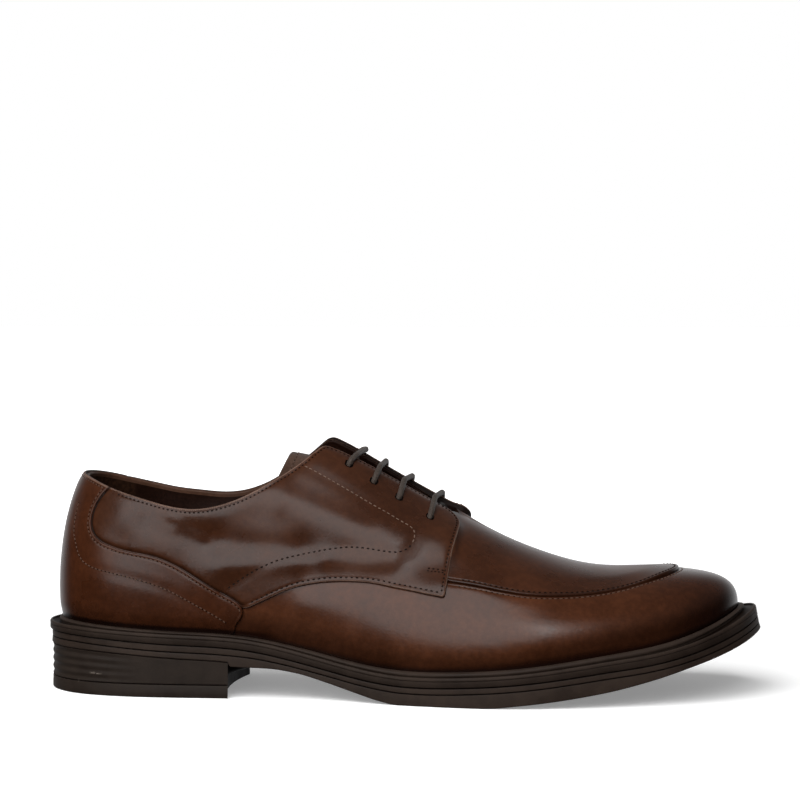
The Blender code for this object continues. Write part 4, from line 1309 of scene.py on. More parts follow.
def apron():
    """The panel on top of the vamp, inside its seam."""
    turns = apron_columns()
    low = SEAM_V(turns)
    high = open_v(turns)
    scale = per_v(turns, low)
    marks = [low, low + 3.0 / scale, np.maximum(high - 2.0 / scale, low + 4.0 / scale), high]
    v = np.clip(rows_between(marks, (15, 16, 4)), 0, high[:, None])
    turn = toe_pole(np.repeat(turns[:, None], v.shape[1], axis=1), v)
    base = surface(turn, v)
    away = (v - low[:, None]) * per_v(turn, np.clip(v, 0, 0.995))
    height = apron_height(away, base[..., 0]) + worn(base) + front_swell(turn, v)
    sheets = [base, skin(turn, v, height), skin(turn, v, np.full(v.shape, -0.2))]
    points, faces, tags = solid(*[s.reshape(-1, 3) for s in sheets], grid_faces(len(turns), v.shape[1]))
    made = add_piece("apron_panel", points, faces, [LEATHER_APRON] * 4, ["apron"], tags)
    # Painted shade near the welt, in front of the facings, beside the seam and under the throat
    painted_shade(made, points, [low_shade, front_shade, seam_shade, throat_shade])


# Panels cut to an outline


def even_line(points, step=EDGE_STEP):
    """Evenly spaced points along a line of turn and v."""
    run = run_along(points * SPAN)
    count = max(2, int(round(run[-1] / step)) + 1)
    at = np.linspace(0, run[-1], count)
    return np.stack([np.interp(at, run, points[:, i]) for i in (0, 1)], -1)


def joined_outline(runs):
    """One closed outline, counter-clockwise, with the kind of edge at each of its points."""
    places, kinds = [], []
    for line, kind in runs:
        for place in even_line(line):
            if places and np.linalg.norm((place - places[-1]) * SPAN) < 0.3 * EDGE_STEP:
                continue
            places.append(place)
            kinds.append(kind)
    places = np.array(places)
    ahead = np.roll(places, -1, axis=0)
    area = (places[:, 0] * ahead[:, 1] - ahead[:, 0] * places[:, 1]).sum()
    if area < 0:
        places, kinds = places[::-1], kinds[::-1]
    for _ in range(3):
        places = 0.5 * places + 0.25 * (np.roll(places, 1, axis=0) + np.roll(places, -1, axis=0))
    return places, kinds


def inside_outline(points, outline):
    """Which points lie inside a closed outline."""
    found = np.zeros(len(points), bool)
    for a, b in zip(outline, np.roll(outline, -1, axis=0)):
        crosses = (a[1] > points[:, 1]) != (b[1] > points[:, 1])
        rise = b[1] - a[1] if b[1] != a[1] else 1.0
        at_x = a[0] + (points[:, 1] - a[1]) / rise * (b[0] - a[0])
        found ^= crosses & (points[:, 0] < at_x)
    return found


def near_kinds(outline, kinds):
    """For each kind of edge, a function for the distance from points to the nearest edge of it."""
    near = {}
    for kind in dict.fromkeys(kinds):
        chosen = [i for i, other in enumerate(kinds) if other == kind]
        near[kind] = nearest_to(surface(outline[chosen, 0], outline[chosen, 1]))
    return near


def edge_heights(by_kind, thickness):
    """A function that gives a panel's height over its underside at places, by its edges."""
    def height(turn, v):
        points = surface(turn, v)
        full = np.full(len(points), float(thickness))
        for kind, nearest in by_kind.items():
            share, radius, groove, groove_at, thinning, reach, _ = EDGES[kind]
            away = nearest(points)
            full -= thickness * (1 - share) * edge_round(away, radius) / radius
            full -= thinning * (1 - ramp(away, 0, reach))
            full -= groove * hump(away, groove_at, GROOVE_WIDTH)
        return np.maximum(full, 0.15)

    return height


def hole_ring(turn, v, radius, count=18):
    """Places round a hole in a panel."""
    by_turn, by_v = slopes(turn, v)
    angle = np.arange(count) * 2 * np.pi / count
    across = np.cos(angle) * radius / np.linalg.norm(by_turn)
    up = np.sin(angle) * radius / np.linalg.norm(by_v)
    return np.stack([turn + across, v + up], -1)


def panel_places(outline, holes):
    """Triangles over a panel: rings along its edge, an even net inside, and round holes."""
    edge = outline * SPAN
    edge_points = surface(outline[:, 0], outline[:, 1])
    from_edge = nearest_to(edge_points)
    closed = np.vstack([outline[-1:], outline, outline[:1]])
    rings = []
    for distance in EDGE_RINGS:
        ring = beside(closed, distance)[1:-1]
        clear = from_edge(surface(ring[:, 0], ring[:, 1])) > 0.93 * distance
        rings.append(ring[clear & inside_outline(ring * SPAN, edge)])
    low, high = edge.min(axis=0), edge.max(axis=0)
    row_step = PANEL_STEP * np.sin(np.radians(60))
    net = []
    for i, v in enumerate(np.arange(low[1], high[1], row_step)):
        start = low[0] + PANEL_STEP * 0.5 * (i % 2)
        net += [(turn, v) for turn in np.arange(start, high[0], PANEL_STEP)]
    net = np.array(net)
    net = net[inside_outline(net, edge)] / SPAN
    net = net[from_edge(surface(net[:, 0], net[:, 1])) > EDGE_RINGS[-1] + 0.5 * PANEL_STEP]
    inner = np.vstack(rings + [net])
    loops = []
    for turn, v in holes:
        centre = surface(turn, v)
        away = np.linalg.norm(surface(inner[:, 0], inner[:, 1]) - centre, axis=1)
        inner = inner[away > EYELET_RADIUS + 0.7]
        loops += [hole_ring(turn, v, EYELET_RADIUS), hole_ring(turn, v, EYELET_RADIUS + 0.35)]
    count = len(edge)
    points = [edge]
    edges = []
    for number, loop in enumerate(loops):
        if number % 2 == 0:
            ring = list(range(count, count + len(loop)))
            edges += list(zip(ring, ring[1:] + ring[:1]))
        points.append(loop * SPAN)
        count += len(loop)
    points.append(inner * SPAN)
    made = delaunay_2d_cdt([Vector(p) for p in np.vstack(points)], edges, [list(range(len(edge)))], 1, 1e-6)
    places = np.array([tuple(p) for p in made[0]]) / SPAN
    faces = [list(face) for face in made[2]]
    if holes:
        middles = np.array([places[face].mean(axis=0) for face in faces])
        spots = surface(middles[:, 0], middles[:, 1])
        keep = np.ones(len(faces), bool)
        for turn, v in holes:
            keep &= np.linalg.norm(spots - surface(turn, v), axis=1) > 0.98 * EYELET_RADIUS
        faces = [face for face, kept in zip(faces, keep) if kept]
    return places, faces


def add_panel(name, runs, thickness, materials, replaced, shades, lift=None, under=None, holes=()):
    """A panel of leather on the shell. It gives the function for the height of its outside."""
    outline, kinds = joined_outline(runs)
    by_kind = near_kinds(outline, kinds)
    height = edge_heights(by_kind, thickness)

    def outside(turn, v):
        raised = lift(turn, v) if lift else 0.0
        base = surface(turn, v)
        return OVERLAY_GAP + raised + height(turn, v) + worn(base) - drawn_in(base)

    places, faces = panel_places(outline, holes)
    turn, v = places[:, 0], places[:, 1]
    base = surface(turn, v)
    low = (under(turn, v) if under else 0.0) + worn(base) - PANEL_SINK
    middles = np.array([base[face].mean(axis=0) for face in faces])
    rim = np.zeros(len(faces), bool)
    for kind, nearest in by_kind.items():
        rim |= nearest(middles) < EDGES[kind][-1]
    points, faces, tags = solid(base, skin(turn, v, outside(turn, v)), skin(turn, v, low), faces, rim)
    made = add_piece(name, points, faces, materials, replaced, tags)
    # Painted shade from the given shade functions
    painted_shade(made, points, shades)
    return outside


def counter_line(medial):
    """The counter's edge from the collar to the welt."""
    return smooth_line(locate(COUNTER_EDGE, medial))


def front_line(medial):
    """The front edge of a facing, from its low corner up."""
    rows = QUARTER_FRONT_MEDIAL if medial else QUARTER_FRONT_LATERAL
    return smooth_line(np.array([place_at(x, v, medial) for x, v in rows]))


def quarter_lines(medial):
    """The quarter's rear, lower, front and top edges."""
    forward = MEDIAL_FORWARD if medial else 0.0
    sign = -1.0 if medial else 1.0
    counter = counter_line(medial)
    counter = beside(counter, -sign * 1.4)[: np.argmax(np.abs(counter[:, 0])) - 2]
    start_x, end_x = QUARTER_LOW_EDGE[0][0], QUARTER_LOW_EDGE[-1][0]
    stretch = 1 + forward / (end_x - start_x)
    low = smooth_line(locate([(start_x + (x - start_x) * stretch, z) for x, z in QUARTER_LOW_EDGE], medial))
    front = front_line(medial)
    last_turn, _ = place_at(FACING_END_MEDIAL if medial else FACING_END_LATERAL, front[-1, 1])
    top_turn = sign * np.linspace(last_turn, abs(counter[0, 0]), LINE_POINTS)
    top_v = np.minimum(open_v(top_turn), throat_v(top_turn))
    return counter, low, front, np.stack([top_turn, top_v], -1)


def eyelet_places():
    """Turn and v of each pair of lace holes, lateral then medial."""
    pairs = []
    for x, v, _, _ in EYELETS:
        pairs.append((place_at(x, v), place_at(x + EYELET_FORWARD, v, medial=True)))
    return pairs


def quarter_under(turn, v):
    return np.maximum(shell_lift(turn, v), FACING_UNDERLIFT * facing_lift(turn, v))


def quarter(medial):
    """The panel from the counter to the facing's front, with its lace holes and sewn rows."""
    label = "medial" if medial else "lateral"
    counter, low, front, top = quarter_lines(medial)
    runs = [(counter, "tuck"), (low, "cut"), (front, "cut"), (top, "collar")]
    holes = [pair[1 if medial else 0] for pair in eyelet_places()]
    # Underside and walls in the painted shade leather; rims in the lighter edge leather, partly painted
    # highlight
    materials = [LEATHER_QUARTER, LEATHER_SHADE, LEATHER_EDGE_AND_HIGHLIGHT, LEATHER_SHADE]
    name = "quarter_" + label
    shades = [counter_shade]
    outside = add_panel(
        name + "_panel", runs, QUARTER_THICK, materials, [name], shades, facing_lift, quarter_under, holes
    )
    sign = -1.0 if medial else 1.0
    sew_line("dark", beside(low[6:-5], sign * STITCH_INSET), outside)
    sew_line("dark", beside(np.vstack([front[8:], top[2:-12]]), sign * STITCH_INSET), outside, CLOSE_PITCH)
    facing = smooth_line(locate(FACING_ROW, medial))
    # The row's first stretch is drawn in the lit copy of the thread and the rest in the shaded copy, as
    # painted light and shade
    turning = int(LIT_ROW_SHARE * len(facing))
    sew_line("light", facing[:turning], outside)
    sew_line("dark", facing[turning:-4], outside)
    bar = smooth_line(locate(BARTACK, medial))
    sew_line("dark", bar, outside, BARTACK_PITCH)
    sew_line("dark", beside(bar, sign * BARTACK_WIDTH), outside, BARTACK_PITCH)


def heel_counter():
    """The panel wrapped round the heel, from the welt to the collar, with two sewn rows."""
    lateral = counter_line(False)
    medial = counter_line(True)
    foot_turn = np.linspace(medial[-1, 0], lateral[-1, 0], LINE_POINTS)
    foot = np.stack([foot_turn, np.full(LINE_POINTS, COUNTER_FOOT_V)], -1)
    top_turn = np.linspace(lateral[0, 0], medial[0, 0], LINE_POINTS)
    top = np.stack([top_turn, open_v(top_turn)], -1)
    runs = [(foot, "foot"), (lateral[::-1], "lap"), (top, "collar"), (medial, "lap")]
    # Walls in the painted shade leather; rims in the lighter edge leather, partly painted highlight
    materials = [LEATHER_COUNTER, LEATHER_COUNTER, LEATHER_EDGE_AND_HIGHLIGHT, LEATHER_SHADE]
    outside = add_panel("heel_counter_panel", runs, COUNTER_THICK, materials, ["heel_counter"], [low_shade])
    for line, sign, side in ((lateral, 1.0, False), (medial, -1.0, True)):
        sew_line("brown", beside(line[6:-16], -sign * COUNTER_INSET), outside, CLOSE_PITCH)
        second = smooth_line(locate(COUNTER_SECOND_ROW, side))[6:]
        sew_line("brown", second, outside, CLOSE_PITCH)
    sew_line("brown", beside(top[8:-8], COLLAR_INSET), outside, CLOSE_PITCH)


# Stitching


SEWN_ROWS = {"light": [], "brown": [], "dark": []}


def sew(colour, points, normals, pitch=STITCH_PITCH):
    """Adds a row of stitches along a line of points with the directions out of the leather there."""
    SEWN_ROWS[colour].append((points, normals, pitch))


def sew_line(colour, places, outside, pitch=STITCH_PITCH):
    turn, v = places[:, 0], places[:, 1]
    sew(colour, skin(turn, v, outside(turn, v)), normal(turn, v), pitch)


def along_row(points, normals, at):
    """Points, directions along and directions out at lengths along a row."""
    run = run_along(points)

    def read(values, where):
        return np.stack([np.interp(where, run, values[:, i]) for i in range(3)], -1)

    reach = 0.3
    forward = unit(read(points, at + reach) - read(points, at - reach))
    return read(points, at), forward, unit(read(normals, at))


STITCH_RINGS = [
    # place along half the stitch, size, height
    (-1, 0.5, -0.9),
    (-0.72, 0.95, 0.0),
    (0, 1.0, 0.3),
    (0.72, 0.95, 0.0),
    (1, 0.5, -0.9),
]


def stitch_shape():
    """One stitch: rings along it, thick in the middle and dipping into the leather at its ends."""
    sides = 6
    angle = np.arange(sides) * 2 * np.pi / sides
    rings = []
    for share, size, height in STITCH_RINGS:
        ring = np.zeros((sides, 3))
        ring[:, 0] = 0.5 * share
        ring[:, 1] = np.cos(angle) * size
        ring[:, 2] = np.sin(angle) * size + height
        rings.append(ring)
    faces = []
    for level in range(len(rings) - 1):
        for k in range(sides):
            after = (k + 1) % sides
            low, high = level * sides, (level + 1) * sides
            faces.append((low + k, low + after, high + after, high + k))
    end = (len(rings) - 1) * sides
    faces.append(tuple(range(sides - 1, -1, -1)))
    faces.append(tuple(range(end, end + sides)))
    return np.vstack(rings), faces


DISC_SIDES = 12


def add_disc(points, faces, centre, along, across, out, radius, height):
    """Adds a dark disc with a cone under it to lists of points and faces."""
    angle = np.arange(DISC_SIDES) * 2 * np.pi / DISC_SIDES
    ring = radius * (np.cos(angle)[:, None] * along + np.sin(angle)[:, None] * across)
    first = DISC_SIDES * len(points) + 2 * len(points)
    middle, tip = centre + 0.5 * height * out, centre - 0.3 * out
    points.append(np.vstack([middle, centre + height * out + ring, tip]))
    for k in range(DISC_SIDES):
        here, after = first + 1 + k, first + 1 + (k + 1) % DISC_SIDES
        faces += [(first, here, after), (first + DISC_SIDES + 1, after, here)]


def add_stitches(colour, finish):
    """All the stitches of one colour as one piece, and the needle holes between them as another, dark discs
    of painted shade.
    """
    length_each, radius, hole_radius = STITCHES[colour]
    shape, shape_faces = stitch_shape()
    points, faces, hole_points, hole_faces = [], [], [], []
    for line, normals, pitch in SEWN_ROWS[colour]:
        length = run_along(line)[-1]
        number = max(1, int(round(length / pitch)))
        at = (np.arange(number) + 0.5) * length / number
        middle, along, out = along_row(line, normals, at)
        across = np.cross(out, along)
        long = length_each * min(1.0, length / number / STITCH_PITCH * 1.02)
        for c, t, b, n in zip(middle, along, across, out):
            sized = shape * (long, radius, radius)
            first = len(points) * len(shape)
            points.append(c + sized[:, :1] * t + sized[:, 1:2] * b + sized[:, 2:] * n)
            faces += [[corner + first for corner in face] for face in shape_faces]
        ends = np.linspace(0, length, number + 1)
        middle, along, out = along_row(line, normals, ends)
        for c, t, b, n in zip(middle, along, np.cross(out, along), out):
            add_disc(hole_points, hole_faces, c, t, b, n, hole_radius, 0.06)
    add_piece("stitches_" + colour, np.vstack(points), faces, [finish])
    if hole_radius:
        add_piece("stitches_" + colour + "_holes", np.vstack(hole_points), hole_faces, [PINHOLE])


def sewn_seam():
    """A row on each side of the apron's seam."""
    start, _ = place_at(THROAT_FRONT_X + 4.0, 0.45)
    ahead, _ = place_at(THROAT_FRONT_X + 4.0 + MEDIAL_FORWARD, 0.45)
    turn = np.linspace(start, 2 - ahead, 4 * LINE_POINTS)
    seam = np.stack([turn, SEAM_V(turn)], -1)
    inner = beside(seam, STITCH_INSET)
    outer = beside(seam, -STITCH_INSET)

    def on_apron(turn, v):
        base = surface(turn, v)
        return apron_height(np.full(len(turn), STITCH_INSET), base[:, 0]) + worn(base)

    def on_vamp(turn, v):
        base = surface(turn, v)
        return seam_profile(np.full(len(turn), -STITCH_INSET), base[:, 0]) + worn(base)

    sew_line("dark", inner, on_apron)
    sew_line("brown", outer, on_vamp)


# Tongue, sock and lace


def tongue():
    """Lies under the facings and stands a little over their top, with a rolled edge and a sewn row."""
    rows_count, across_count = 90, 61
    x = np.linspace(TONGUE[0][0], TONGUE[-1][0], rows_count)
    inset = table_smooth(TONGUE, 1)(x)
    edge = table_smooth(TONGUE, 2)(x)
    across = np.sin(np.linspace(-1, 1, across_count) * np.pi / 2)
    down = np.linspace(0, 1, rows_count)
    lean = TONGUE_LEAN * across[None, :] ** 2 * (1 - down)[:, None]
    turns, _ = place_at(x[:, None] - lean, 0.0)
    turn = np.where(across[None, :] < 0, turns, 2 - turns)
    v = 1 - np.abs(across)[None, :] * (1 - edge)[:, None]
    base = surface(turn, v, 0.0)
    from_top = run_along(base[:, across_count // 2])[:, None] * np.ones(v.shape)
    sideways = np.stack([run_along(row) for row in base])
    from_side = np.minimum(sideways, sideways[:, -1:] - sideways)
    away = np.minimum(from_top, from_side)
    half = 0.5 * TONGUE_THICK
    fall = edge_round(away, half)
    sewn = 0.18 * hump(away, 3.2, 0.6)
    deep = np.broadcast_to(inset[:, None], v.shape)
    outer = skin(turn, v, -deep - fall - sewn, 0.0)
    inner = skin(turn, v, -deep - TONGUE_THICK + fall, 0.0)
    faces = [face[::-1] for face in grid_faces(rows_count, across_count)]
    shape = solid(*[sheet.reshape(-1, 3) for sheet in (base, outer, inner)], faces)
    points, faces, tags = shape
    add_piece("tongue_flap", points, faces, [SUEDE, LINING, SUEDE, SUEDE], ["tongue"], tags)
    row = int(np.searchsorted(from_top[:, 0], 3.2))
    middle = slice(8, across_count - 8)
    sew("brown", outer[row, middle], normal(turn[row, middle], v[row, middle], 0.0))


def sock():
    """The insole with its cover, dished a little towards the middle."""
    under = welt_under(FOOT_X)
    ring = foot_ring(TURNS, (-WALL - 2 * GAP) * FLAT, under - INSOLE_THICK)
    low = foot_ring(TURNS, (-WALL - 2 * GAP) * FLAT, under)
    opposite = ring[(-np.arange(len(TURNS))) % len(TURNS)]
    centre = 0.5 * (ring + opposite)
    rings = []
    for share in (0.12, 0.35, 0.6, 0.8, 0.92, 0.98, 1.0):
        level = centre + (ring - centre) * share
        level[:, 2] += 0.9 * share**4 - 0.9 - 0.5 * (share == 1.0)
        rings.append(level)
    rings.append(low)
    add_piece("insole_sock", np.vstack(rings), stack_faces(rings), [LINING], ["insole"])


def lace_half(place, x_move, medial):
    """One half of a bar, drawn tight from a hole over the facing to its edge."""
    turn, v = place
    edge_turn, _ = place_at(surface(turn, v)[0] + x_move, v, medial)
    edge_v = open_v(edge_turn)[0]
    points = []
    for share, clear in LACE_OVER:
        at_turn = np.array([turn + (edge_turn - turn) * share])
        at_v = np.array([v + (edge_v - v) * share])
        points.append(skin(at_turn, at_v, facing_top(at_turn, at_v) + clear)[0])
    return points


def lace_path():
    """The lace's whole route: bars over the throat, and short hidden runs inside between the holes."""
    pairs = eyelet_places()
    inside = -WALL - 1.35

    def hole(number, side):
        turn, v = pairs[number][side]
        return np.array([turn]), np.array([v])

    def within(number, side):
        turn, v = hole(number, side)
        lift = shell_lift(turn, v) + worn(surface(turn, v))
        return [skin(turn, v - 0.004, lift + inside * 0.55)[0], skin(turn, v - 0.022, lift + inside)[0]]

    def between(number, side):
        """A hidden run inside from one hole to the next on the same side."""
        turn = 0.5 * (pairs[number][side][0] + pairs[number + 1][side][0])
        v = 0.5 * (pairs[number][side][1] + pairs[number + 1][side][1]) - 0.03
        turn, v = np.array([turn]), np.array([v])
        return [skin(turn, v, shell_lift(turn, v) + worn(surface(turn, v)) + inside)[0]]

    path = within(0, 0)[::-1]
    side = 0
    for number, pair in enumerate(pairs):
        near_lean, far_lean = EYELETS[number][2:]
        halves = [lace_half(pair[0], near_lean, False), lace_half(pair[1], far_lean, True)]
        path += halves[side] + halves[1 - side][::-1]
        side = 1 - side
        path += within(number, side)
        if number + 1 < len(pairs):
            path += between(number, side) + within(number + 1, side)[::-1]
    turn, v = hole(len(pairs) - 1, side)
    first_turn, first_v = hole(0, side)
    for share in (0.3, 0.65, 0.95):
        at_turn = turn + (first_turn - turn) * share
        at_v = v + (first_v - v) * share - 0.05
        lift = shell_lift(at_turn, at_v) + worn(surface(at_turn, at_v))
        path.append(skin(at_turn, at_v, lift + inside)[0])
    return np.array(path)


def taut(path):
    """Straight runs between the points of a path, with its corners softly rounded."""
    run = run_along(path)
    at = np.arange(0, run[-1], LACE_STEP)
    line = np.stack([np.interp(at, run, path[:, i]) for i in range(3)], -1)
    for _ in range(LACE_SMOOTHING):
        line[1:-1] = 0.5 * line[1:-1] + 0.25 * (line[:-2] + line[2:])
    return line


def tube(path, radius, sides):
    """A round cord along a path, with the raised crossing strands of a braid."""
    along = unit(np.gradient(path, axis=0))
    side = np.cross(along[0], (0.0, 0.0, 1.0))
    sides_angle = np.arange(sides) * 2 * np.pi / sides
    run = run_along(path)
    strands, rise = 5, 2 * np.pi / 2.6
    rings = []
    for centre, forward, length in zip(path, along, run):
        side = unit(side - forward * (side @ forward))
        up = np.cross(forward, side)
        one = np.sin(strands * sides_angle + rise * length)
        other = np.sin(strands * sides_angle - rise * length)
        size = radius * (0.965 + 0.06 * np.maximum(one, other))
        aside = (np.cos(sides_angle) * size)[:, None] * side
        rings.append(centre + aside + (np.sin(sides_angle) * size)[:, None] * up)
    faces = ring_walls(sides, len(rings))
    faces.append(tuple(range(sides)))
    faces.append(tuple(range((len(rings) - 1) * sides + sides - 1, (len(rings) - 1) * sides - 1, -1)))
    return np.vstack(rings), faces


def lace():
    points, faces = tube(taut(lace_path()), LACE_RADIUS, 26)
    bars = [f"lace_bar_{number}" for number in range(1, len(EYELETS) + 1)]
    add_piece("lace_cord", points, faces, [LACE], bars)


def eyelet_shades():
    """A dark disc of painted shade at the bottom of each punched hole, which the lace comes out of."""
    points, faces = [], []
    for place in [place for pair in eyelet_places() for place in pair]:
        turn, v = np.array([place[0]]), np.array([place[1]])
        out = normal(turn, v)[0]
        centre = skin(turn, v, facing_top(turn, v) - EYELET_DEPTH)[0]
        along = unit(np.cross(out, (0.0, 1.0, 0.0)))
        add_disc(points, faces, centre, along, np.cross(out, along), out, EYELET_RADIUS + 0.1, 0.0)
    add_piece("eyelet_shades", np.vstack(points), faces, [PINHOLE])


# Sole


def sole_width(x):
    """The sole's width outside the feather line: it is set in under the welt's lip round the heel."""
    return welt_width(x) - SEAT_INSET * (1 - ramp(x, *SEAT_INSET_X))


def rounded_layer(width, top, low, flare=0.0):
    """Rings of a sole layer from the top down, with its two edges rounded."""
    r = SOLE_ROUND
    rows = (
        # spread, depth
        (width - r, top),
        (width - 0.3 * r, top + 0.08 * r),
        (width - 0.08 * r, top + 0.3 * r),
        (width, top + r),
        (width + flare, low - r),
        (width + flare - 0.08 * r, low - 0.3 * r),
        (width + flare - 0.3 * r, low - 0.08 * r),
        (width + flare - r, low),
    )
    return [foot_ring(TURNS, spread, depth) for spread, depth in rows]


def add_plate(name, rings, finish, replaced):
    """A layer of the sole, with painted shade along its edges."""
    made = add_piece(name, np.vstack(rings), stack_faces(rings), [finish], [replaced])
    set_painted_shade(made, np.repeat(LAYER_EDGE_SHADE, len(rings[0])))


def welt():
    """A ring round the upper's foot: an inner bead, a groove and an outer ridge."""
    width = welt_width(FOOT_X)
    crest = welt_crest(FOOT_X)
    under = welt_under(FOOT_X)
    section = [(spread * FLAT, share * crest + added) for spread, share, added in WELT_BEAD]
    section += [(width + spread, crest + added) for spread, added in WELT_RIDGE]
    knots = np.arange(len(section))
    flat = np.array([np.concatenate(pair) for pair in section])
    at = np.linspace(0, knots[-1], 72)
    top = spline(knots, flat)(at)
    groove_shade = sum(most * hump(at, middle, reach) for middle, reach, most in WELT_GROOVE_SHADE)
    count = len(TURNS)
    rows = [(0.1 * FLAT, under)]
    rows += [(row[:count], row[count:]) for row in top]
    rows += [(width + 0.05, under - 0.45), (width - 0.1, under - 0.12), (width - 0.5, under)]
    rings = [foot_ring(TURNS, spread, depth) for spread, depth in rows]
    faces = ring_walls(count, len(rings), closed=True)
    made = add_piece("welt_strip", np.vstack(rings), faces, [RUBBER], ["welt"])
    # Painted shade in the welt's grooves and along its underside
    set_painted_shade(made, np.repeat(np.clip([1.0, *groove_shade, 0.4, 0.9, 1.0], 0, 1), count))


def sole_layers():
    width = sole_width(FOOT_X)
    top = welt_under(FOOT_X) + GAP
    low = midsole_under(FOOT_X)
    add_plate("midsole_layer", rounded_layer(width, top, low), RUBBER, "midsole")
    top = midsole_under(FOOT_X) + GAP
    low = feather_z(FOOT_X) - outsole_bottom(FOOT_X)
    add_plate("outsole_layer", rounded_layer(width, top, low, SOLE_FLARE), RUBBER, "outsole")


def heel_turns():
    """Turns round the heel from the breast's medial corner to its lateral one."""
    share = np.linspace(0, 1, HEEL_COLUMNS)
    lateral = place_at(BREAST_X, 0.0)[0] * share
    medial = place_at(BREAST_X, 0.0, medial=True)[0] * share
    return np.concatenate([medial[:0:-1], lateral])


def heel_ring(turns, inset, z, reach):
    """A level of the heel: round the back, then across its hollowed breast."""
    back = foot_ring(turns, sole_width(feather(turns)[:, 0]) - inset, np.zeros(len(turns)))
    back[:, 2] = z
    share = np.linspace(0, 1, BREAST_POINTS + 2)[1:-1]
    across = back[-1] + (back[0] - back[-1]) * share[:, None]
    hollow = BREAST_HOLLOW * 4 * share * (1 - share)
    loss = BREAST_MEDIAL_LOSS * ramp(share, *BREAST_MEDIAL)
    across[:, 0] += reach * ramp(share, *BREAST_LATERAL) * (1 - loss) - hollow
    return np.vstack([back, across])


def flat_cap(ring, base, upward):
    """Triangles that close a ring whose plan may be hollow."""
    made = delaunay_2d_cdt([Vector((p[0], p[1])) for p in ring], [], [list(range(len(ring)))], 1, 1e-6)
    faces = [[base + made[3][corner][0] for corner in face] for face in made[2]]
    return faces if upward else [face[::-1] for face in faces]


def add_heel(name, rings, replaced):
    count = len(rings[0])
    faces = ring_walls(count, len(rings))
    faces += flat_cap(rings[0], 0, True)
    faces += flat_cap(rings[-1], count * (len(rings) - 1), False)
    made = add_piece(name, np.vstack(rings), faces, [RUBBER_LOW], [replaced])
    # The heel's hollowed breast is darkened as painted shade
    breast = np.arange(count) >= count - BREAST_POINTS
    set_painted_shade(made, np.tile(breast.astype(float), len(rings)))


def heel():
    """The heel block with soft ribs round its back, and the top piece that it stands on."""
    turns = heel_turns()
    x = feather(turns)[:, 0]
    seat = outsole_bottom(np.clip(x, 0, BREAST_X)) - GAP
    low = TOP_PIECE_HEIGHT + GAP
    fade = 1 - ramp(x, *RIB_FADE_X)
    rings = []
    for share in np.linspace(1, 0, 49):
        groove = RIB_DEPTH * fade * np.sin(RIB_COUNT * np.pi * share) ** 2
        corner = edge_round(min(share, 1 - share) * (seat - low).mean(), 0.4)
        reach = BREAST_REACH * ramp(share, *BREAST_RISE) * (1 - ramp(share, *BREAST_TOP))
        rings.append(heel_ring(turns, HEEL_INSET + groove + corner, low + (seat - low) * share, reach))
    add_heel("heel_stack", rings, "heel_block")
    flat = np.ones(len(turns))
    rings = []
    for inset, z in ((0.5, 0.0), (0.12, -0.12), (0.0, -0.5), (-0.05, -3.0)):
        rings.append(heel_ring(turns, HEEL_INSET + inset, (TOP_PIECE_HEIGHT + z) * flat, 0.0))
    for inset, z in ((-0.1, TOP_PIECE_EDGE), (0.08, 0.18), (0.6, 0.0)):
        rings.append(heel_ring(turns, HEEL_INSET + inset, z * flat, 0.0))
    add_heel("heel_top_lift", rings, "heel_top_piece")


# Stage


CAMERA_AT = np.array([233.768, -1038.961, 172.963])
CAMERA_AIM = np.array([151.620, 9.687, 123.892])
FOCAL_PIXELS = 2434.25
IMAGE_WIDTH = 800
SENSOR = 36.0


def camera():
    data = bpy.data.cameras.new("camera")
    data.sensor_width = SENSOR
    data.lens = FOCAL_PIXELS / IMAGE_WIDTH * SENSOR
    data.clip_start = 0.01
    thing = bpy.data.objects.new("camera", data)
    bpy.context.scene.collection.objects.link(thing)
    at = Vector((CAMERA_AT - ORIGIN) * MM)
    aim = Vector((CAMERA_AIM - ORIGIN) * MM)
    thing.location = at
    thing.rotation_euler = (aim - at).to_track_quat("-Z", "Y").to_euler()
    bpy.context.scene.camera = thing


def floor():
    """Pale paper, lit from above; it turns evenly white away from the shoe."""
    mesh = bpy.data.meshes.new("floor")
    half = 9.0
    corners = [(-half, -half, 0), (half, -half, 0), (half, half, 0), (-half, half, 0)]
    mesh.from_pydata(corners, [], [(0, 1, 2, 3)])
    made, tree, shader = new_material("floor_paper", Roughness=0.9)
    shader.inputs["Base Color"].default_value = (0.85, 0.85, 0.85, 1.0)
    shader.inputs["Emission Color"].default_value = (1.0, 1.0, 1.0, 1.0)
    shader.inputs["Specular IOR Level"].default_value = 0.0
    where = add_node(tree, "TexCoord").outputs["Object"]
    away = add_node(tree, "VectorMath", {"operation": "LENGTH"}, Vector=where).outputs["Value"]
    tree.links.new(ranged(tree, away, 0.25, 0.9, 0.25, 1.1), shader.inputs["Emission Strength"])
    mesh.materials.append(made)
    thing = bpy.data.objects.new("floor", mesh)
    bpy.context.scene.collection.objects.link(thing)
    thing.visible_glossy = False
    thing.visible_diffuse = False
    return thing


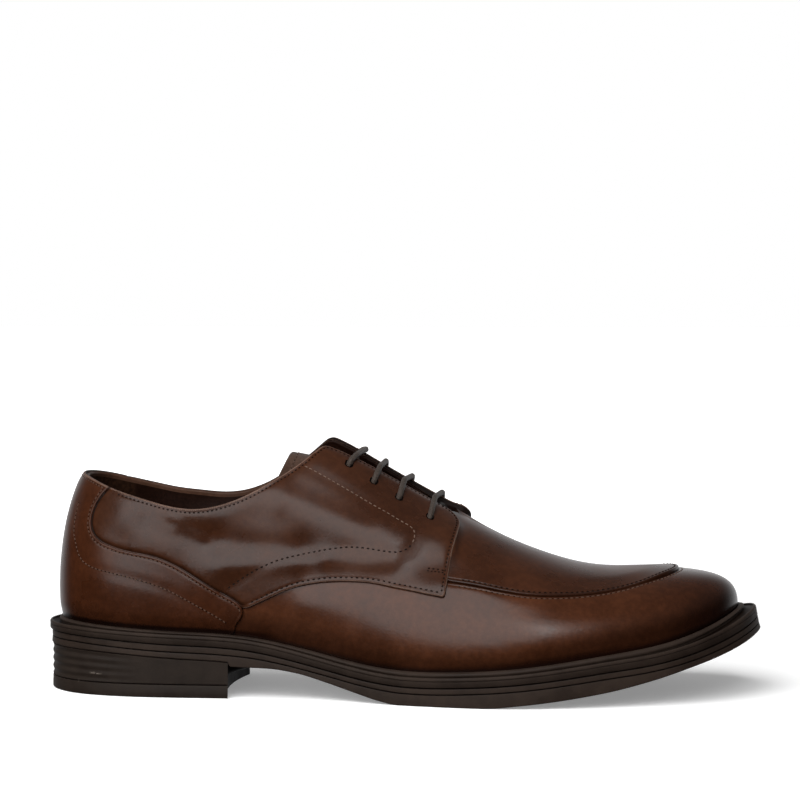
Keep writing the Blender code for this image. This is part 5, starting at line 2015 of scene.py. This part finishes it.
# A wall of strip lights before the shoe: its lower edge steps up towards the right
STRIPS = [
    # left and right x, low and high z, in metres, how bright
    (-1.30, -0.95, 0.05, 1.90, 1.0),
    (-0.95, -0.62, 0.05, 1.95, 1.0),
    (-0.62, -0.32, 0.06, 2.00, 1.0),
    (-0.32, -0.02, 0.19, 2.05, 1.0),
    (-0.02, 0.25, 0.39, 2.05, 1.0),
    (0.25, 0.30, 0.58, 2.00, 1.0),
    (0.30, 0.38, 0.66, 0.93, 2.7),
    (0.30, 0.47, 0.93, 1.33, 2.9),
    (0.30, 0.56, 1.33, 2.05, 1.0),
]
STRIPS_Y = -1.30
STRIPS_WATTS = 7.2
PAPER_LAMP = (-0.45, -0.60, 1.20)
PAPER_LAMP_SIZE = 1.2
PAPER_LAMP_WATTS = 19.2


def add_light(name, at, aim, width, height, watts):
    data = bpy.data.lights.new(name, "AREA")
    data.shape = "RECTANGLE"
    data.size, data.size_y = width, height
    data.energy = watts
    thing = bpy.data.objects.new(name, data)
    thing.location = at
    thing.rotation_euler = (Vector(aim) - Vector(at)).to_track_quat("-Z", "Y").to_euler()
    bpy.context.scene.collection.objects.link(thing)
    return thing


def lights(paper):
    """The strips before the shoe, and a lamp from above for the paper alone."""
    for number, (left, right, low, high, bright) in enumerate(STRIPS):
        width, height = right - left, high - low
        x, z = 0.5 * (left + right), 0.5 * (low + high)
        watts = STRIPS_WATTS * bright * width * height
        add_light(f"strip_{number + 1}", (x, STRIPS_Y, z), (x, 0.0, z), width, height, watts)
    only_paper = bpy.data.collections.new("paper_only")
    only_paper.objects.link(paper)
    size = PAPER_LAMP_SIZE
    lamp = add_light("paper_lamp", PAPER_LAMP, (0.0, 0.0, 0.05), size, size, PAPER_LAMP_WATTS)
    lamp.light_linking.receiver_collection = only_paper


def world():
    """White behind the shoe, and a dim room round it that is brighter above and at the back."""
    made = bpy.data.worlds.new("studio")
    made.use_nodes = True
    tree = made.node_tree
    room = tree.nodes["Background"]
    where = add_node(tree, "TexCoord").outputs["Generated"]
    axes = add_node(tree, "SeparateXYZ", Vector=where).outputs
    back = mixed(tree, ranged(tree, axes[1], 0.3, 0.9), (0.02, 0.02, 0.02, 1.0), (0.76, 0.76, 0.77, 1.0))
    shade = mixed(tree, ranged(tree, axes[2], 0.05, 0.75), back, (0.11, 0.11, 0.11, 1.0))
    tree.links.new(shade, room.inputs["Color"])
    paper = add_node(tree, "Background", Color=(1.0, 1.0, 1.0, 1.0), Strength=1.0)
    seen = add_node(tree, "LightPath").outputs["Is Camera Ray"]
    both = add_node(tree, "MixShader", Fac=seen)
    tree.links.new(room.outputs[0], both.inputs[1])
    tree.links.new(paper.outputs[0], both.inputs[2])
    tree.links.new(both.outputs[0], tree.nodes["World Output"].inputs["Surface"])
    bpy.context.scene.world = made
    bpy.context.scene.view_settings.view_transform = "Standard"


def main():
    camera()
    lights(floor())
    world()
    upper_shell()
    apron()
    heel_counter()
    quarter(False)
    quarter(True)
    sewn_seam()
    tongue()
    sock()
    lace()
    eyelet_shades()
    welt()
    sole_layers()
    heel()
    for colour, finish in (("light", THREAD_LIT_COPY), ("brown", THREAD), ("dark", THREAD_SHADED_COPY)):
        add_stitches(colour, finish)


main()
